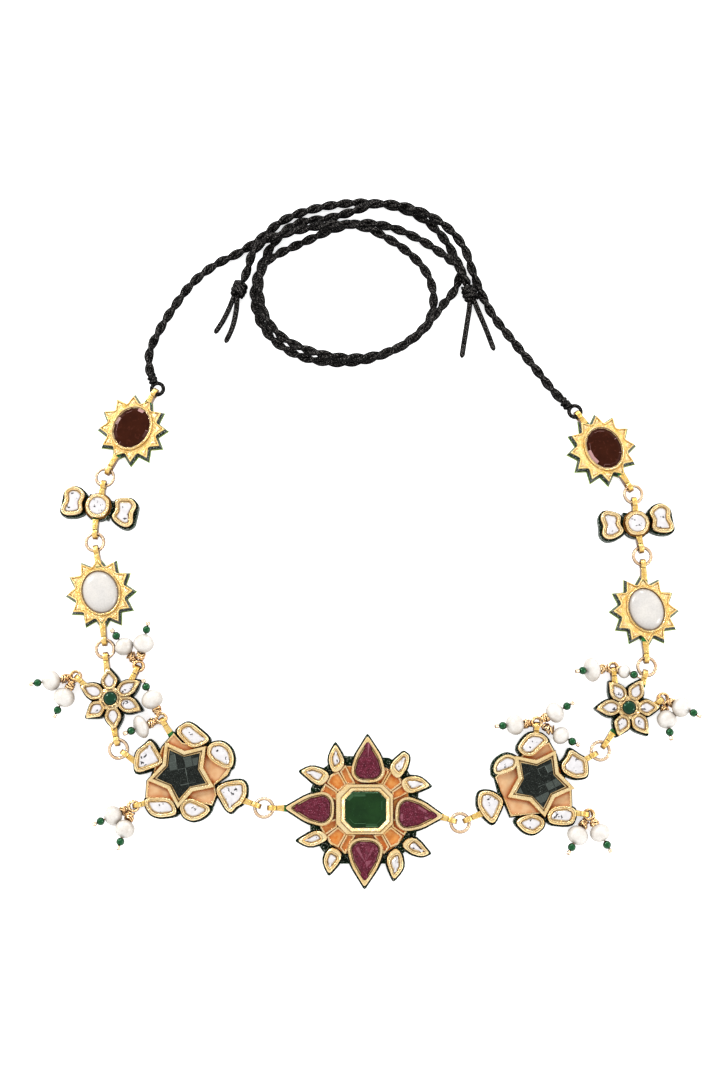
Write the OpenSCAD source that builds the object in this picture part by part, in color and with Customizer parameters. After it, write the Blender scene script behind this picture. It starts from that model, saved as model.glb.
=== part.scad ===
/* [Castings] */
// Height of the flat body that carries every bezel
plate_h = 2.8; // [2.2:0.1:3.6]
// Height of the bezels round the foil-backed stones
bezel_h = 4.2; // [3.6:0.1:5]
// Height of the bezels round the four pear stones
pear_h = 4.5; // [4:0.1:5.4]
// Height of the frame round the middle stone
frame_h = 5.0; // [4.4:0.1:6]
// How far the base flares out beyond the bezels
flare = 0.6; // [0.3:0.1:0.8]
// Wall of the bezels
wall = 0.7; // [0.6:0.05:0.9]

/* [Sun settings] */
// Reach of the twelve teeth from the middle
tooth_r = 10.1; // [9.4:0.1:10.6]
// Height of the toothed plate
sun_h = 3.4; // [3:0.1:4]
// Height of the rim round the oval stones
rim_h = 4.1; // [3.6:0.1:4.6]

/* [Rings and drops] */
// Radius of a link ring to the middle of its wire
link_r = 2.6; // [2.2:0.1:2.8]
// Radius of the link wire
link_wire = 0.4; // [0.3:0.05:0.45]
// Radius of a drop loop to the middle of its wire
loop_r = 1.5; // [1.4:0.1:1.7]
// Radius of the drop wire
pin_wire = 0.25; // [0.2:0.01:0.28]
// Radius of the small round beads
bead_r = 1.2; // [1:0.1:1.3]

/* [Cord] */
// Diameter of the twisted cord
cord_d = 2.8; // [2.4:0.1:2.8]
// Diameter of one ply at the loops and tails
ply_d = 1.4; // [1.2:0.1:1.6]

/* [Hidden] */
// Bottom middle of the band in the layout that the tables below use
origin = [0.9, -27.5];
gap = 0.1;
floor_z = 1.4;
enamel_z = 2;
ledge = 0.05;
ear_z = 1.95;
ear_w = 1.6;
ear_r = 1.75;
ear_hole = 1.1;

gold = "#D9A441";
black_cord = "#15110F";
white_stone = "#DDD8CC";
pearl_white = "#EDE8E0";

// Middles of the castings
centre = [1.3, -79.5];
star_l = [-51.3, -69.1];
star_r = [51.7, -71.7];
blossom_l = [-72.7, -47.75];
blossom_r = [78.3, -50.4];
sun_pl = [-76.8, -16.6];
sun_pr = [84.2, -21.8];
bow_l = [-78.4, 9.7];
bow_r = [82.6, 4.4];
sun_gl = [-68.7, 33.6];
sun_gr = [73.2, 27.3];

// Link rings, from the end of the band to the middle
rings_l = [[-76.8, 18.8], [-79.1, -1.1], [-75, -33.1], [-70.2, -62.3], [-27.7, -79.1]];
rings_r = [[82.1, 13.6], [84.1, -5.3], [84.2, -38.3], [69.8, -62.8], [28.8, -83.3]];

// Outlines of the eight small petals round the middle, tip first
petals = [
  [[-8.4, 18.7], [-10.6, 14.8], [-9.5, 10.2], [-5.2, 13.3]],
  [[-18.5, 10.8], [-15.6, 8.2], [-13.1, 6.5], [-9.8, 10.5], [-15.2, 12.5]],
  [[11.3, 16.4], [6.7, 12.3], [10, 8.7], [12.3, 11.5], [13.1, 15.2]],
  [[19, 6.6], [16.2, 9.2], [12.7, 9.4], [10.6, 8.3], [13, 4.1]],
  [[18.6, -12.3], [14.3, -7.3], [10.8, -10.6], [13.4, -12.5], [16.6, -13.3]],
  [[8.3, -19.8], [11.2, -16.5], [10.8, -13], [9.6, -11.2], [5.8, -14.2]],
  [[-10.1, -18.2], [-6, -13.5], [-10.2, -10.5], [-12, -14.5]],
  [[-19.3, -8.8], [-15.6, -10.8], [-10.4, -8.8], [-13.6, -5.4]]
];
// Pear settings as round end, tip and width
pears = [
  [[1.05, 7.4], [0.9, 21], 9.4],
  [[0.3, -7.9], [0, -21.8], 9.8],
  [[-8.6, 0], [-23, 0.4], 9.4],
  [[8.7, -1.1], [22.8, -2], 9.4]
];
// Enamel cells of one quarter, turned over into the other three
cells = [
  [[2.9, 7.5], [4.9, 7.2], [6.8, 10.7], [5.6, 12.2], [4.9, 11], [4.2, 9.2]],
  [[5.6, 7], [7.6, 5.3], [10.5, 7.6], [9.6, 9.4], [7.6, 10.4]],
  [[8.2, 2.9], [10.2, 3.6], [12.4, 4.9], [11.3, 7], [8.2, 4.9]]
];

// Foil-backed stones round the left star, and the field behind them
stones_l = [
  [[-2.7, 11.9], [1.9, 7.2], [4.4, 7.1], [7.5, 8.8], [7.4, 10.2], [2.7, 14.1], [0.7, 14.5]],
  [[7.4, 8], [6.8, 5.3], [8.6, 3], [12, 1.2], [14.3, 1.2], [14.9, 4], [14, 6.9],
   [11.8, 8.8], [9.5, 8.9]],
  [[9.9, -4.2], [10, -5.8], [12.8, -10.6], [14.3, -11.4], [15.6, -9.7], [17.2, -9],
   [18.6, -6.5], [18.6, -3.6], [17.3, -2], [12.6, -2.6]],
  [[-0.7, -10], [0.7, -12.7], [3.1, -13.7], [5.4, -13.2], [7.5, -11.8], [8.6, -9.9],
   [5, -8.1], [2.4, -7.2], [0.4, -8]],
  [[-10.6, -7.3], [-10.4, -9.6], [-8.9, -11.8], [-6.3, -12.8], [-1, -12], [-1.9, -8.7],
   [-3.8, -7.1], [-7.2, -7]],
  [[-9.7, 9.4], [-11.1, 7.9], [-13.4, 6.3], [-14, 3.5], [-13.6, -0.5], [-6.5, 2],
   [-5.5, 3.3], [-6.9, 5.9], [-8.5, 8.4]]
];
field_l = [[-6.5, 7.6], [-9.4, -0.9], [-10.6, -2.2], [-10.8, -7.4], [-3, -9], [5, -9],
  [9, -9.8], [10.3, -6.5], [9.8, -3.6], [13.4, -0.9], [14.4, 1.6], [7, 8], [0, 9], [-2.9, 12]];
// Foil-backed stones round the right star, and the field behind them
stones_r = [
  [[-6.5, 9.6], [-4.4, 7.4], [-1.6, 7.2], [1.8, 10.6], [3.2, 11.8], [0.9, 14.1], [-3, 14.1]],
  [[-9.3, 8.3], [-12.3, 6.6], [-13.6, 4.2], [-13.1, 1.2], [-6.9, 3.3], [-6, 5.4], [-6.3, 7.2]],
  [[-17.5, -2.7], [-18, -6.9], [-15.8, -10.3], [-13.4, -12.2], [-11.1, -7.8], [-10.3, -4.9],
   [-13.9, -2.5]],
  [[-7.6, -10.9], [-4.9, -14.1], [-1.9, -15], [1.1, -12.8], [1.2, -10.5], [-2.2, -8.8]],
  [[1.8, -9.6], [2.7, -12], [9.1, -12.4], [10.3, -9.9], [10.2, -7.6], [7.3, -6.7], [3.4, -7.2]],
  [[9.1, 9.6], [8, 6.9], [6.3, 5.1], [6.7, 2.7], [10.1, 0.9], [13.8, 1.3], [14.2, 3.6],
   [13.8, 6.6], [11.6, 7.7]]
];
field_r = [[3.4, 11.9], [-3, 9], [-9, 6], [-13, 1.4], [-12.5, -1], [-11.8, -3.4], [-10.4, -5.6],
  [-8.6, -10.2], [0, -9.5], [9.6, -7.4], [9.6, -1.8], [8, 0.2], [5.5, 8]];

// Petals of the blossoms as angle and reach
leaves_l = [[96, 8.8], [33, 9.6], [-19, 9.4], [-80, 8.9], [-143, 8.7], [157, 9.5]];
leaves_r = [[65, 8.8], [0, 8.8], [-56, 9.1], [-114.5, 8.7], [180, 9.3], [124, 9.1]];

// Bow wings round their middle ring
wing_a = [[-10.1, 4.6], [-10.4, 1.3], [-11.1, -1.7], [-9.6, -2.8], [-6.6, -2.8], [-4.2, -1.7],
  [-4.2, 0.7], [-3.6, 3.4], [-5.4, 5.4], [-7.7, 6.1]];
wing_b = [[5.2, 1.8], [5, -0.9], [4, -3.6], [7, -6.1], [9, -6.5], [10.6, -5.4], [11, -2.6],
  [11.7, 0.3], [10, 2.3], [6.9, 2.3]];
wing_c = [[-10.9, 1.8], [-10.5, -1], [-10.6, -3.5], [-9, -4.9], [-6.7, -4.6], [-3.7, -2.7],
  [-4.6, -0.2], [-4.6, 2.6], [-8.4, 3.8], [-10, 3.4]];

// Ears as casting, root, the ring or loop they hold, and the radius of that ring
cord_loop_l = [-61.7, 46.5];
cord_loop_r = [65.3, 39.4];
cord_r = 1.8;
loop_ply = 0.6;
ears_gl = [[[-64.6, 41.6], cord_loop_l, cord_r], [[-73, 26.4], rings_l[0], link_r]];
ears_gr = [[[68.7, 34.6], cord_loop_r, cord_r], [[78.2, 20.6], rings_r[0], link_r]];
ears_bl = [[[-77.6, 12.4], rings_l[0], link_r], [[-79, 6.9], rings_l[1], link_r]];
ears_br = [[[82.5, 7], rings_r[0], link_r], [[83, 1.8], rings_r[1], link_r]];
ears_pl = [[[-77.4, -9.4], rings_l[1], link_r], [[-76.1, -24], rings_l[2], link_r]];
ears_pr = [[[84.3, -14.2], rings_r[1], link_r], [[83.9, -29.6], rings_r[2], link_r]];
drops_bl = [[-83.4, -41.1], [-65, -38.1]];
ears_ol = [[[-73.9, -41], rings_l[2], link_r], [[-71.9, -54.6], rings_l[3], link_r],
  [[-78.9, -45.2], drops_bl[0], loop_r], [[-67.4, -43.6], drops_bl[1], loop_r]];
drops_br = [[74.2, -38.6], [88.6, -47.6]];
ears_or = [[[82.4, -44.2], rings_r[2], link_r], [[74, -56.8], rings_r[3], link_r],
  [[74.6, -44.3], drops_br[0], loop_r], [[85.2, -50.2], drops_br[1], loop_r]];
drops_sl = [[-58, -53.4], [-65.4, -78.6]];
ears_sl = [[[-64, -66.6], rings_l[3], link_r], [[-34.6, -76.6], rings_l[4], link_r],
  [[-54.7, -58.4], drops_sl[0], loop_r], [[-60.2, -77.4], drops_sl[1], loop_r]];
drops_sr = [[51.5, -54.6], [66, -81]];
ears_sr = [[[63, -66.6], rings_r[3], link_r], [[37, -79.8], rings_r[4], link_r],
  [[51, -60], drops_sr[0], loop_r], [[60.8, -80.4], drops_sr[1], loop_r]];
ears_c = [[[-21, -79.2], rings_l[4], link_r], [[22.6, -81.4], rings_r[4], link_r]];

// Drops as loop, level of the loop (-1 to 1), middle of the pearl, its radius, half length and height
hang_bl = [
  [drops_bl[0], -1, [-90.3, -42.5], 2.9, 2.3, 2.9],
  [drops_bl[0], 1, [-86.3, -47.4], 3, 2.4, 3.1],
  [drops_bl[1], -1, [-69.3, -32.4], 2.7, 2.2, 2.7],
  [drops_bl[1], 1, [-63.5, -31.6], 2.9, 2.4, 3.8]
];
hang_br = [
  [drops_br[0], -1, [67.8, -39.4], 3.4, 1.6, 3.4],
  [drops_br[0], 1, [77.3, -39.9], 1.9, 1.5, 3.6],
  [drops_br[1], -1, [89.3, -53.8], 2.8, 2.3, 2.8],
  [drops_br[1], 1, [93.3, -50.4], 2.8, 2.3, 4.9]
];
hang_sl = [
  [drops_sl[0], -1, [-63.6, -56], 3.3, 1.6, 3.3],
  [drops_sl[0], 1, [-60.6, -48], 3, 2.4, 3.2],
  [drops_sl[1], -1, [-71, -81.3], 2.8, 2.2, 2.8],
  [drops_sl[1], 1, [-67.2, -85.1], 2.7, 2.2, 4.6]
];
hang_sr = [
  [drops_sr[0], -1, [45, -55.3], 2.9, 2.2, 2.9],
  [drops_sr[0], 1, [56.8, -51.8], 2.9, 2.2, 3.3],
  [drops_sr[0], 0, [58.4, -58.4], 2.5, 2, 2.6],
  [drops_sr[1], -1, [62.4, -86.9], 2.9, 2.3, 2.9],
  [drops_sr[1], 1, [68.8, -86.1], 2.8, 2.2, 3]
];

// Route of the left cord: up from its casting, over the top, round the loop and over again
route_l = [
  [-62.7, 48.2, 1.6], [-64.3, 52.4, 1.5], [-64.5, 58.5, 1.5], [-61.6, 65.6, 1.5],
  [-57.3, 73.1, 1.5], [-51.8, 80.8, 1.5], [-45, 86.6, 1.5], [-37.5, 90.7, 1.5],
  [-30.9, 95.4, 1.5], [-24.4, 101.1, 1.5], [-16, 104.7, 1.5], [-6, 106.8, 1.5],
  [4, 107.1, 1.5], [12.5, 105.3, 1.5], [19.6, 101.8, 1.5], [24.9, 96.9, 1.5],
  [28.8, 90.6, 1.5], [31, 84.6, 1.5], [29.3, 78.6, 1.6], [26.6, 74.8, 2.2],
  [23.5, 70.2, 4.2], [18.9, 64.2, 4.3], [12.2, 59.1, 4.3], [3.4, 56.1, 4.5],
  [-6, 55.8, 4.5], [-15, 57.8, 4.3], [-22.8, 61.6, 4.2], [-28, 67.2, 4.1],
  [-30.6, 74.6, 4.1], [-30.8, 81.4, 4.4], [-28.8, 86.6, 4.3], [-23.8, 90.7, 2.4],
  [-16.5, 94.6, 1.5], [-8, 98.5, 1.5], [1, 100.4, 1.5], [10, 98.9, 1.5],
  [18.6, 95, 1.5], [25.4, 90, 2.2], [30, 85, 4.7], [31.7, 82.7, 4.4], [32.7, 80.6, 3.4],
  [33.1, 79.3, 3.1]
];
// Route of the right cord: over the top, down the left, round the loop, up the right, to the left
route_r = [
  [63.7, 40.6, 1.7], [58.6, 46.4, 1.5], [52.6, 54.5, 1.5], [46.2, 62.9, 1.5],
  [40.7, 70.6, 1.5], [37, 78.5, 1.5], [34.6, 85, 2.1], [32.4, 91.2, 3.2],
  [28.1, 96.8, 4.2], [21.6, 101.6, 4.5], [13.4, 104.8, 4.5], [5, 105.5, 4.5],
  [-2.5, 103.6, 2.8], [-10, 102, 1.5], [-17.6, 100.9, 1.5], [-22.6, 98.5, 1.5],
  [-27, 93.6, 1.5], [-30, 88, 1.5], [-32.2, 81.4, 1.5], [-32.7, 75.4, 1.5],
  [-30.8, 68.2, 1.5], [-25.9, 61.6, 1.5], [-18.4, 57.1, 1.5], [-9.6, 55.1, 1.5],
  [0, 55.5, 1.5], [8.8, 58.3, 1.5], [15.9, 62.7, 1.5], [20.6, 67.6, 1.5],
  [22.6, 73.5, 1.5], [22, 80.6, 1.5], [18.9, 86.6, 1.5], [13.6, 91.9, 1.5],
  [8, 95.6, 1.9], [3, 97.6, 3.4], [-3.5, 98.7, 4.6], [-12, 98.3, 4.6],
  [-20.5, 96.4, 4.6], [-28.4, 94, 4.4], [-33, 90, 3.6], [-34.8, 84.6, 2.7],
  [-36.4, 80.4, 2.7]
];
// Routes of the two tails of each knot
tails_l = [
  [[-38.6, 76.6, 2.4], [-40.4, 72.4, 1.4], [-42.4, 68.4, 0.9], [-44.7, 64.6, 0.9]],
  [[-37.8, 76.3, 2.4], [-38.2, 71.6, 1.4], [-39.3, 66.6, 0.9], [-41.4, 61.6, 0.9]]
];
tails_r = [
  [[34, 75.6, 2.2], [33.5, 71, 1.3], [32.2, 63, 0.9], [31.2, 56.8, 0.9]],
  [[34.7, 75.8, 2.2], [36.6, 71.4, 1.3], [39, 65.4, 0.9], [41.2, 59.1, 0.9]]
];

function unit(v) = v / norm(v);
function flat(v) = [v.x, v.y];
function mean(p) = [for (i = [0:len(p) - 1]) 1] * p / len(p);
function turn(p, a) = [for (v = p) [v.x * cos(a) - v.y * sin(a), v.x * sin(a) + v.y * cos(a)]];
function move(p, d) = [for (v = p) v + d];

// Outline moved inwards by d, or outwards when d is negative; it runs anticlockwise
function inset(p, d) = [
  for (i = [0:len(p) - 1])
    let (
      u = unit(p[i] - p[(i + len(p) - 1) % len(p)]),
      v = unit(p[(i + 1) % len(p)] - p[i]),
      m = [-u.y - v.y, u.x + v.x]
    )
    p[i] + m * (2 * d / (m * m))
];

// Outline with rounded corners; the first one is the tip and stays sharper
function soft(p, tip = 0.42, n = 3) = [
  for (i = [0:len(p) - 1])
    let (
      f = i == 0 ? tip : 0.42,
      a = p[i] + (p[(i + len(p) - 1) % len(p)] - p[i]) * f,
      c = p[i] + (p[(i + 1) % len(p)] - p[i]) * f
    )
    for (k = [0:n])
      let (t = k / n)
      a * (1 - t) * (1 - t) + p[i] * 2 * t * (1 - t) + c * t * t
];

function petal(p, d = 0) = soft(inset(p, d), 0.2);
function kundan(p, d = 0) = soft(inset(p, d));
function oval(a, b, n = 24) = [for (i = [0:n - 1]) [a * cos(360 * i / n), b * sin(360 * i / n)]];
function frame(a, b, c) = [
  [a, b - c], [a - c, b], [c - a, b], [-a, b - c],
  [-a, c - b], [c - a, -b], [a - c, -b], [a, c - b]
];
function star(r, notch, a) = [
  for (i = [0:9]) (i % 2 == 0 ? r : notch) * [cos(a + 36 * i), sin(a + 36 * i)]
];
function pear(s, d = 0) = let (
    l = norm(s[1] - s[0]),
    w = s[2],
    a = atan2(s[1].y - s[0].y, s[1].x - s[0].x),
    half = [[l, 0], [0.56 * l, 0.42 * w], [0.2 * l, 0.56 * w], [0, 0.3 * w]],
    rest = [for (i = [3:-1:1]) [half[i].x, -half[i].y]]
  )
  soft(inset(move(turn(concat(half, rest), a), s[0]), d), 0.12);
function leaf(s, d = 0) = soft(
  inset(turn([[s[1], 0], [s[1] - 2.4, 1.9], [5, 2.4], [3, 1.5], [2.4, 0], [3, -1.5],
    [5, -2.4], [s[1] - 2.4, -1.9]], s[0]), d), 0.2);
function sun(d = 0) = inset([
  for (i = [0:11])
    for (k = [0, 1])
      k == 0 ? tooth_r * [cos(90 + 30 * i), sin(90 + 30 * i)]
        : [7.5 * cos(105 + 30 * i), 8.4 * sin(105 + 30 * i)]
], d);
// Cell turned over by the signs sx and sy, and moved inwards by d
function cell(p, sx, sy, d) = let (q = [for (v = p) [v.x * sx, v.y * sy]], m = len(p) - 1)
  inset(sx * sy > 0 ? q : [for (i = [m:-1:0]) q[i]], d);
function hole_of(e) = e[1] - e[2] * unit(e[1] - e[0]);

// Solid through scaled copies of one outline, each level as height and scale
module loft(p, levels) {
  n = len(p);
  c = mean(p);
  m = len(levels) - 1;
  pts = [for (l = levels) for (v = p) let (w = c + (v - c) * l[1]) [w.x, w.y, l[0]]];
  sides = [
    for (j = [0:m - 1])
      for (i = [0:n - 1])
        let (k = (i + 1) % n)
        [j * n + i, j * n + k, (j + 1) * n + k, (j + 1) * n + i]
  ];
  tris = [for (q = sides) for (h = [0, 1]) h == 0 ? [q[0], q[2], q[1]] : [q[0], q[3], q[2]]];
  bottom = [for (i = [0:n - 1]) i];
  top = [for (i = [n - 1:-1:0]) m * n + i];
  polyhedron(pts, concat(tris, [bottom, top]));
}

// Upright plate with a round eye, from its root in the casting to its ring or loop
module ear(e) {
  eye = hole_of(e);
  l = norm(eye - e[0]);
  a = atan2(eye.y - e[0].y, eye.x - e[0].x);
  translate([e[0].x, e[0].y, ear_z]) rotate([0, 0, a]) rotate([90, 0, 0])
    translate([0, 0, -ear_w / 2]) linear_extrude(ear_w)
      difference() {
        union() {
          translate([0, -ear_r]) square([l, 2 * ear_r]);
          translate([l, 0]) circle(ear_r);
        }
        translate([l, 0]) circle(ear_hole);
      }
}

// Wire ring lying flat
module ring(p, r, wire, z, a = 0) {
  translate([p.x, p.y, z]) rotate([0, 0, a])
    rotate_extrude() translate([r, 0]) rotate([0, 0, 130]) circle(wire);
}

// Places its children with Z along the pin of a drop, from the middle of the pearl
module on_pin(h, s) {
  z0 = ear_z + 0.65 * h[1];
  d = unit(h[2] - h[0]);
  a = [h[0].x + d.x * loop_r, h[0].y + d.y * loop_r, z0];
  b = [h[2].x, h[2].y, h[5]];
  v = unit(b - a);
  c = b + v * s;
  translate(c) rotate([0, acos(v.z), atan2(v.y, v.x)]) children();
}
function reach(h) = norm([norm(h[2] - h[0]) - loop_r, h[5] - ear_z - 0.65 * h[1]]);

// Loop in the ear, wrapped neck, straight pin and ball end
module drop_wire(h) {
  z0 = ear_z + 0.65 * h[1];
  ball = reach(h) + h[4] + 2 * bead_r + 1;
  ring(h[0], loop_r, pin_wire, z0);
  on_pin(h, -reach(h) - 0.1) rotate_extrude()
    polygon(concat(
      [[0, 0], [0.34, 0], [0.34, 1.4], [pin_wire, 1.4], [pin_wire, ball - 0.65]],
      [for (a = [-54:18:72]) [0.7 * cos(a), ball + 0.7 * sin(a)]],
      [[0, ball + 0.7]]
    ));
}

// Off-round pearl, drilled
module pearl(h) {
  on_pin(h, 0) rotate_extrude()
    polygon([
      [0.45, -h[4] * 0.97], [0.5 * h[3], -0.87 * h[4]], [0.8 * h[3], -0.6 * h[4]],
      [0.97 * h[3], -0.25 * h[4]], [h[3], 0.05 * h[4]], [0.95 * h[3], 0.35 * h[4]],
      [0.76 * h[3], 0.68 * h[4]], [0.45 * h[3], 0.92 * h[4]], [0.45, h[4]]
    ]);
}

// Round drilled bead beyond the pearl
module bead(h) {
  on_pin(h, h[4] + 0.15 + bead_r) difference() {
    sphere(bead_r);
    translate([0, 0, -2]) cylinder(h = 4, r = 0.45);
  }
}

// Tube of radius r along a route, each end cut square to it
module tube(route, r, n = 8) {
  m = len(route) - 1;
  dir = [for (i = [0:m]) unit(route[min(i + 1, m)] - route[max(i - 1, 0)])];
  pts = [
    for (i = [0:m])
      let (
        d = dir[i],
        s = unit([d.y, -d.x, 0]),
        u = cross(s, d)
      )
      for (k = [0:n - 1])
        route[i] + r * (s * cos(360 * (k + 0.5) / n) + u * sin(360 * (k + 0.5) / n))
  ];
  quads = [
    for (i = [0:m - 1])
      for (k = [0:n - 1])
        let (j = (k + 1) % n)
        [i * n + k, i * n + j, (i + 1) * n + j, (i + 1) * n + k]
  ];
  tris = [for (q = quads) for (h = [0, 1]) h == 0 ? [q[0], q[1], q[2]] : [q[0], q[2], q[3]]];
  start = [for (k = [n - 1:-1:0]) k];
  end = [for (k = [0:n - 1]) m * n + k];
  polyhedron(pts, concat(tris, [start, end]));
}

// Barrel knot that follows the end of a route, with two tails
module knot(route, tails, l = 4.7) {
  m = len(route) - 1;
  v = unit(route[m] - route[m - 1]);
  translate(route[m]) rotate([0, acos(v.z), atan2(v.y, v.x)]) rotate_extrude()
    polygon([[0, 0], [1.5, 0], [1.95, 0.7], [2.15, 0.5 * l], [1.95, l - 0.9], [1.5, l], [0, l]]);
  for (t = tails) tube(t, ply_d / 2, 6);
}

// Everything is laid out round the middle of the loop and moved to the origin as a whole
module place(p = [0, 0]) {
  translate([p.x - origin.x, p.y - origin.y, 0]) children();
}
module slab(z0, z1) {
  translate([0, 0, z0]) linear_extrude(z1 - z0) children();
}

// Bezel outlines and pockets of the middle piece
module centre_bezels(d = 0) {
  for (p = petals) polygon(petal(p, d));
  for (s = pears) polygon(pear(s, d));
  polygon(inset(frame(8.3, 7.2, 3.1), d));
}
module centre_cells(d) {
  for (sx = [-1, 1]) for (sy = [-1, 1]) for (p = cells) polygon(cell(p, sx, sy, d));
}
module centre_setting() {
  color(gold) place() {
    difference() {
      union() {
        place_ears(ears_c);
        translate(centre) {
          slab(0, plate_h) {
            centre_bezels(-flare);
            circle(15.2);
          }
          slab(0, bezel_h) for (p = petals) polygon(petal(p));
          slab(0, pear_h) for (s = pears) polygon(pear(s));
          slab(0, frame_h) polygon(frame(8.3, 7.2, 3.1));
        }
      }
      translate(centre) {
        slab(floor_z, 9) {
          for (p = petals) polygon(petal(p, wall));
          for (s = pears) polygon(pear(s, wall + 0.2));
          translate([0.3, -0.15]) polygon(frame(6.3, 5.5, 2.3));
        }
        slab(enamel_z, 9) difference() {
          centre_cells(0.2);
          centre_bezels(-ledge);
        }
      }
    }
  }
}
module centre_enamel() {
  color("#DC8B3E") place(centre) slab(enamel_z + gap, plate_h) difference() {
    centre_cells(0.2 + gap);
    centre_bezels(-ledge - gap);
  }
}
module place_ears(list) {
  for (e = list) ear(e);
}
module emerald() {
  color("#23451F") place(centre) translate([0.3, -0.15, floor_z + gap])
    loft(frame(6.2, 5.4, 2.3), [[0, 0.9], [2.6, 1], [3.4, 0.86], [4, 0.64]]);
}
module ruby(i) {
  color("#83394B") place(centre) translate([0, 0, floor_z + gap])
    loft(pear(pears[i], wall + 0.2 + gap), [[0, 0.9], [2.6, 1], [3.6, 0.66]]);
}
module ruby_top() { ruby(0); }
module ruby_bottom() { ruby(1); }
module ruby_left() { ruby(2); }
module ruby_right() { ruby(3); }
module centre_kundan() {
  color(white_stone) place(centre) translate([0, 0, floor_z + gap])
    for (p = petals) loft(petal(p, wall + gap), [[0, 0.94], [2.2, 1], [2.7, 0.7]]);
}

// Star pieces: bezels round the star and the six stones on a flat body with enamel between them
module star_setting(mid, a, stones, field, ears) {
  color(gold) place() {
    difference() {
      union() {
        place_ears(ears);
        translate(mid) {
          slab(0, plate_h) {
            for (p = stones) polygon(kundan(p, -flare));
            polygon(field);
            polygon(star(9.5, 5.9, a));
          }
          slab(0, bezel_h) {
            for (p = stones) polygon(kundan(p));
            polygon(star(9.5, 5.9, a));
          }
        }
      }
      translate(mid) {
        slab(floor_z, 9) {
          for (p = stones) polygon(kundan(p, wall));
          polygon(star(7.4, 4.6, a));
        }
        slab(enamel_z, 9) star_field(a, stones, inset(field, 0.9), ledge);
      }
    }
  }
}
module star_field(a, stones, field, d) {
  difference() {
    polygon(field);
    polygon(inset(star(9.5, 5.9, a), -d));
    for (p = stones) polygon(kundan(p, -d));
  }
}
module star_enamel(mid, a, stones, field) {
  color("#E2AE7C") place(mid) slab(enamel_z + gap, plate_h)
    star_field(a, stones, inset(field, 0.9 + gap), ledge + gap);
}
module star_stone(mid, a) {
  color("#3C4038") place(mid) translate([0, 0, floor_z + gap])
    loft(star(7.25, 4.45, a), [[0, 0.94], [2.2, 1], [3, 0.66]]);
}
module kundan_field(mid, stones) {
  color(white_stone) place(mid) translate([0, 0, floor_z + gap])
    for (p = stones) loft(kundan(p, wall + gap), [[0, 0.94], [2.2, 1], [2.7, 0.72]]);
}
star_la = 48.3;
star_ra = 61.4;
module star_left_setting() { star_setting(star_l, star_la, stones_l, field_l, ears_sl); }
module star_left_enamel() { star_enamel(star_l, star_la, stones_l, field_l); }
module star_left_stone() { star_stone(star_l, star_la); }
module star_left_kundan() { kundan_field(star_l, stones_l); }
module star_right_setting() { star_setting(star_r, star_ra, stones_r, field_r, ears_sr); }
module star_right_enamel() { star_enamel(star_r, star_ra, stones_r, field_r); }
module star_right_stone() { star_stone(star_r, star_ra); }
module star_right_kundan() { kundan_field(star_r, stones_r); }

// Six-petalled pieces with a round green cabochon
module blossom_setting(mid, leaves, ears) {
  color(gold) place() {
    difference() {
      union() {
        place_ears(ears);
        translate(mid) {
          slab(0, plate_h) {
            for (s = leaves) polygon(leaf(s, -flare));
            circle(5.6);
          }
          slab(0, bezel_h) {
            for (s = leaves) polygon(leaf(s));
            circle(2.6);
          }
        }
      }
      translate(mid) slab(floor_z, 9) {
        for (s = leaves) difference() {
          polygon(leaf(s, wall));
          circle(2.6);
        }
        circle(1.95);
      }
    }
  }
}
module blossom_stone(mid) {
  color("#1F5A38") place(mid) translate([0, 0, floor_z + gap])
    loft(oval(1.85, 1.85, 16), [[0, 1], [2.4, 1], [3.1, 0.86], [3.5, 0.5]]);
}
module blossom_kundan(mid, leaves) {
  color(white_stone) place(mid) translate([0, 0, floor_z + gap])
    for (s = leaves) loft(leaf(s, wall + gap), [[0, 0.94], [2.2, 1], [2.7, 0.66]]);
}
module blossom_left_setting() { blossom_setting(blossom_l, leaves_l, ears_ol); }
module blossom_left_stone() { blossom_stone(blossom_l); }
module blossom_left_kundan() { blossom_kundan(blossom_l, leaves_l); }
module blossom_right_setting() { blossom_setting(blossom_r, leaves_r, ears_or); }
module blossom_right_stone() { blossom_stone(blossom_r); }
module blossom_right_kundan() { blossom_kundan(blossom_r, leaves_r); }

// Sun pieces: toothed plate on a flared base, a rim and one oval stone
module sun_setting(mid, a, s, lean, ears) {
  color(gold) place() {
    difference() {
      union() {
        place_ears(ears);
        translate(mid) {
          slab(0, plate_h) polygon(sun(-flare));
          slab(0, sun_h) polygon(sun());
          rotate([0, 0, lean]) slab(0, rim_h) polygon(oval(a + wall, s + wall));
        }
      }
      translate(mid) rotate([0, 0, lean]) slab(floor_z, 9) polygon(oval(a, s));
    }
  }
}
module garnet(mid, a, s, lean) {
  color("#4A1F16") place(mid) rotate([0, 0, lean]) translate([0, 0, floor_z + gap])
    loft(oval(a - gap, s - gap), [[0, 0.94], [2.1, 1], [2.9, 0.74]]);
}
module cabochon(mid, a, s, lean) {
  color("#E8E4E4") place(mid) rotate([0, 0, lean]) translate([0, 0, floor_z + gap])
    loft(oval(a - gap, s - gap), [[0, 0.96], [1.9, 1], [2.9, 0.9], [3.5, 0.7], [3.8, 0.4]]);
}
module garnet_left_setting() { sun_setting(sun_gl, 5.6, 6.3, -15, ears_gl); }
module garnet_left() { garnet(sun_gl, 5.6, 6.3, -15); }
module garnet_right_setting() { sun_setting(sun_gr, 5.5, 6.3, 20, ears_gr); }
module garnet_right() { garnet(sun_gr, 5.5, 6.3, 20); }
module pearl_left_setting() { sun_setting(sun_pl, 5.2, 6, 8, ears_pl); }
module pearl_left() { cabochon(sun_pl, 5.2, 6, 8); }
module pearl_right_setting() { sun_setting(sun_pr, 5.1, 6, 12, ears_pr); }
module pearl_right() { cabochon(sun_pr, 5.1, 6, 12); }

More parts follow.
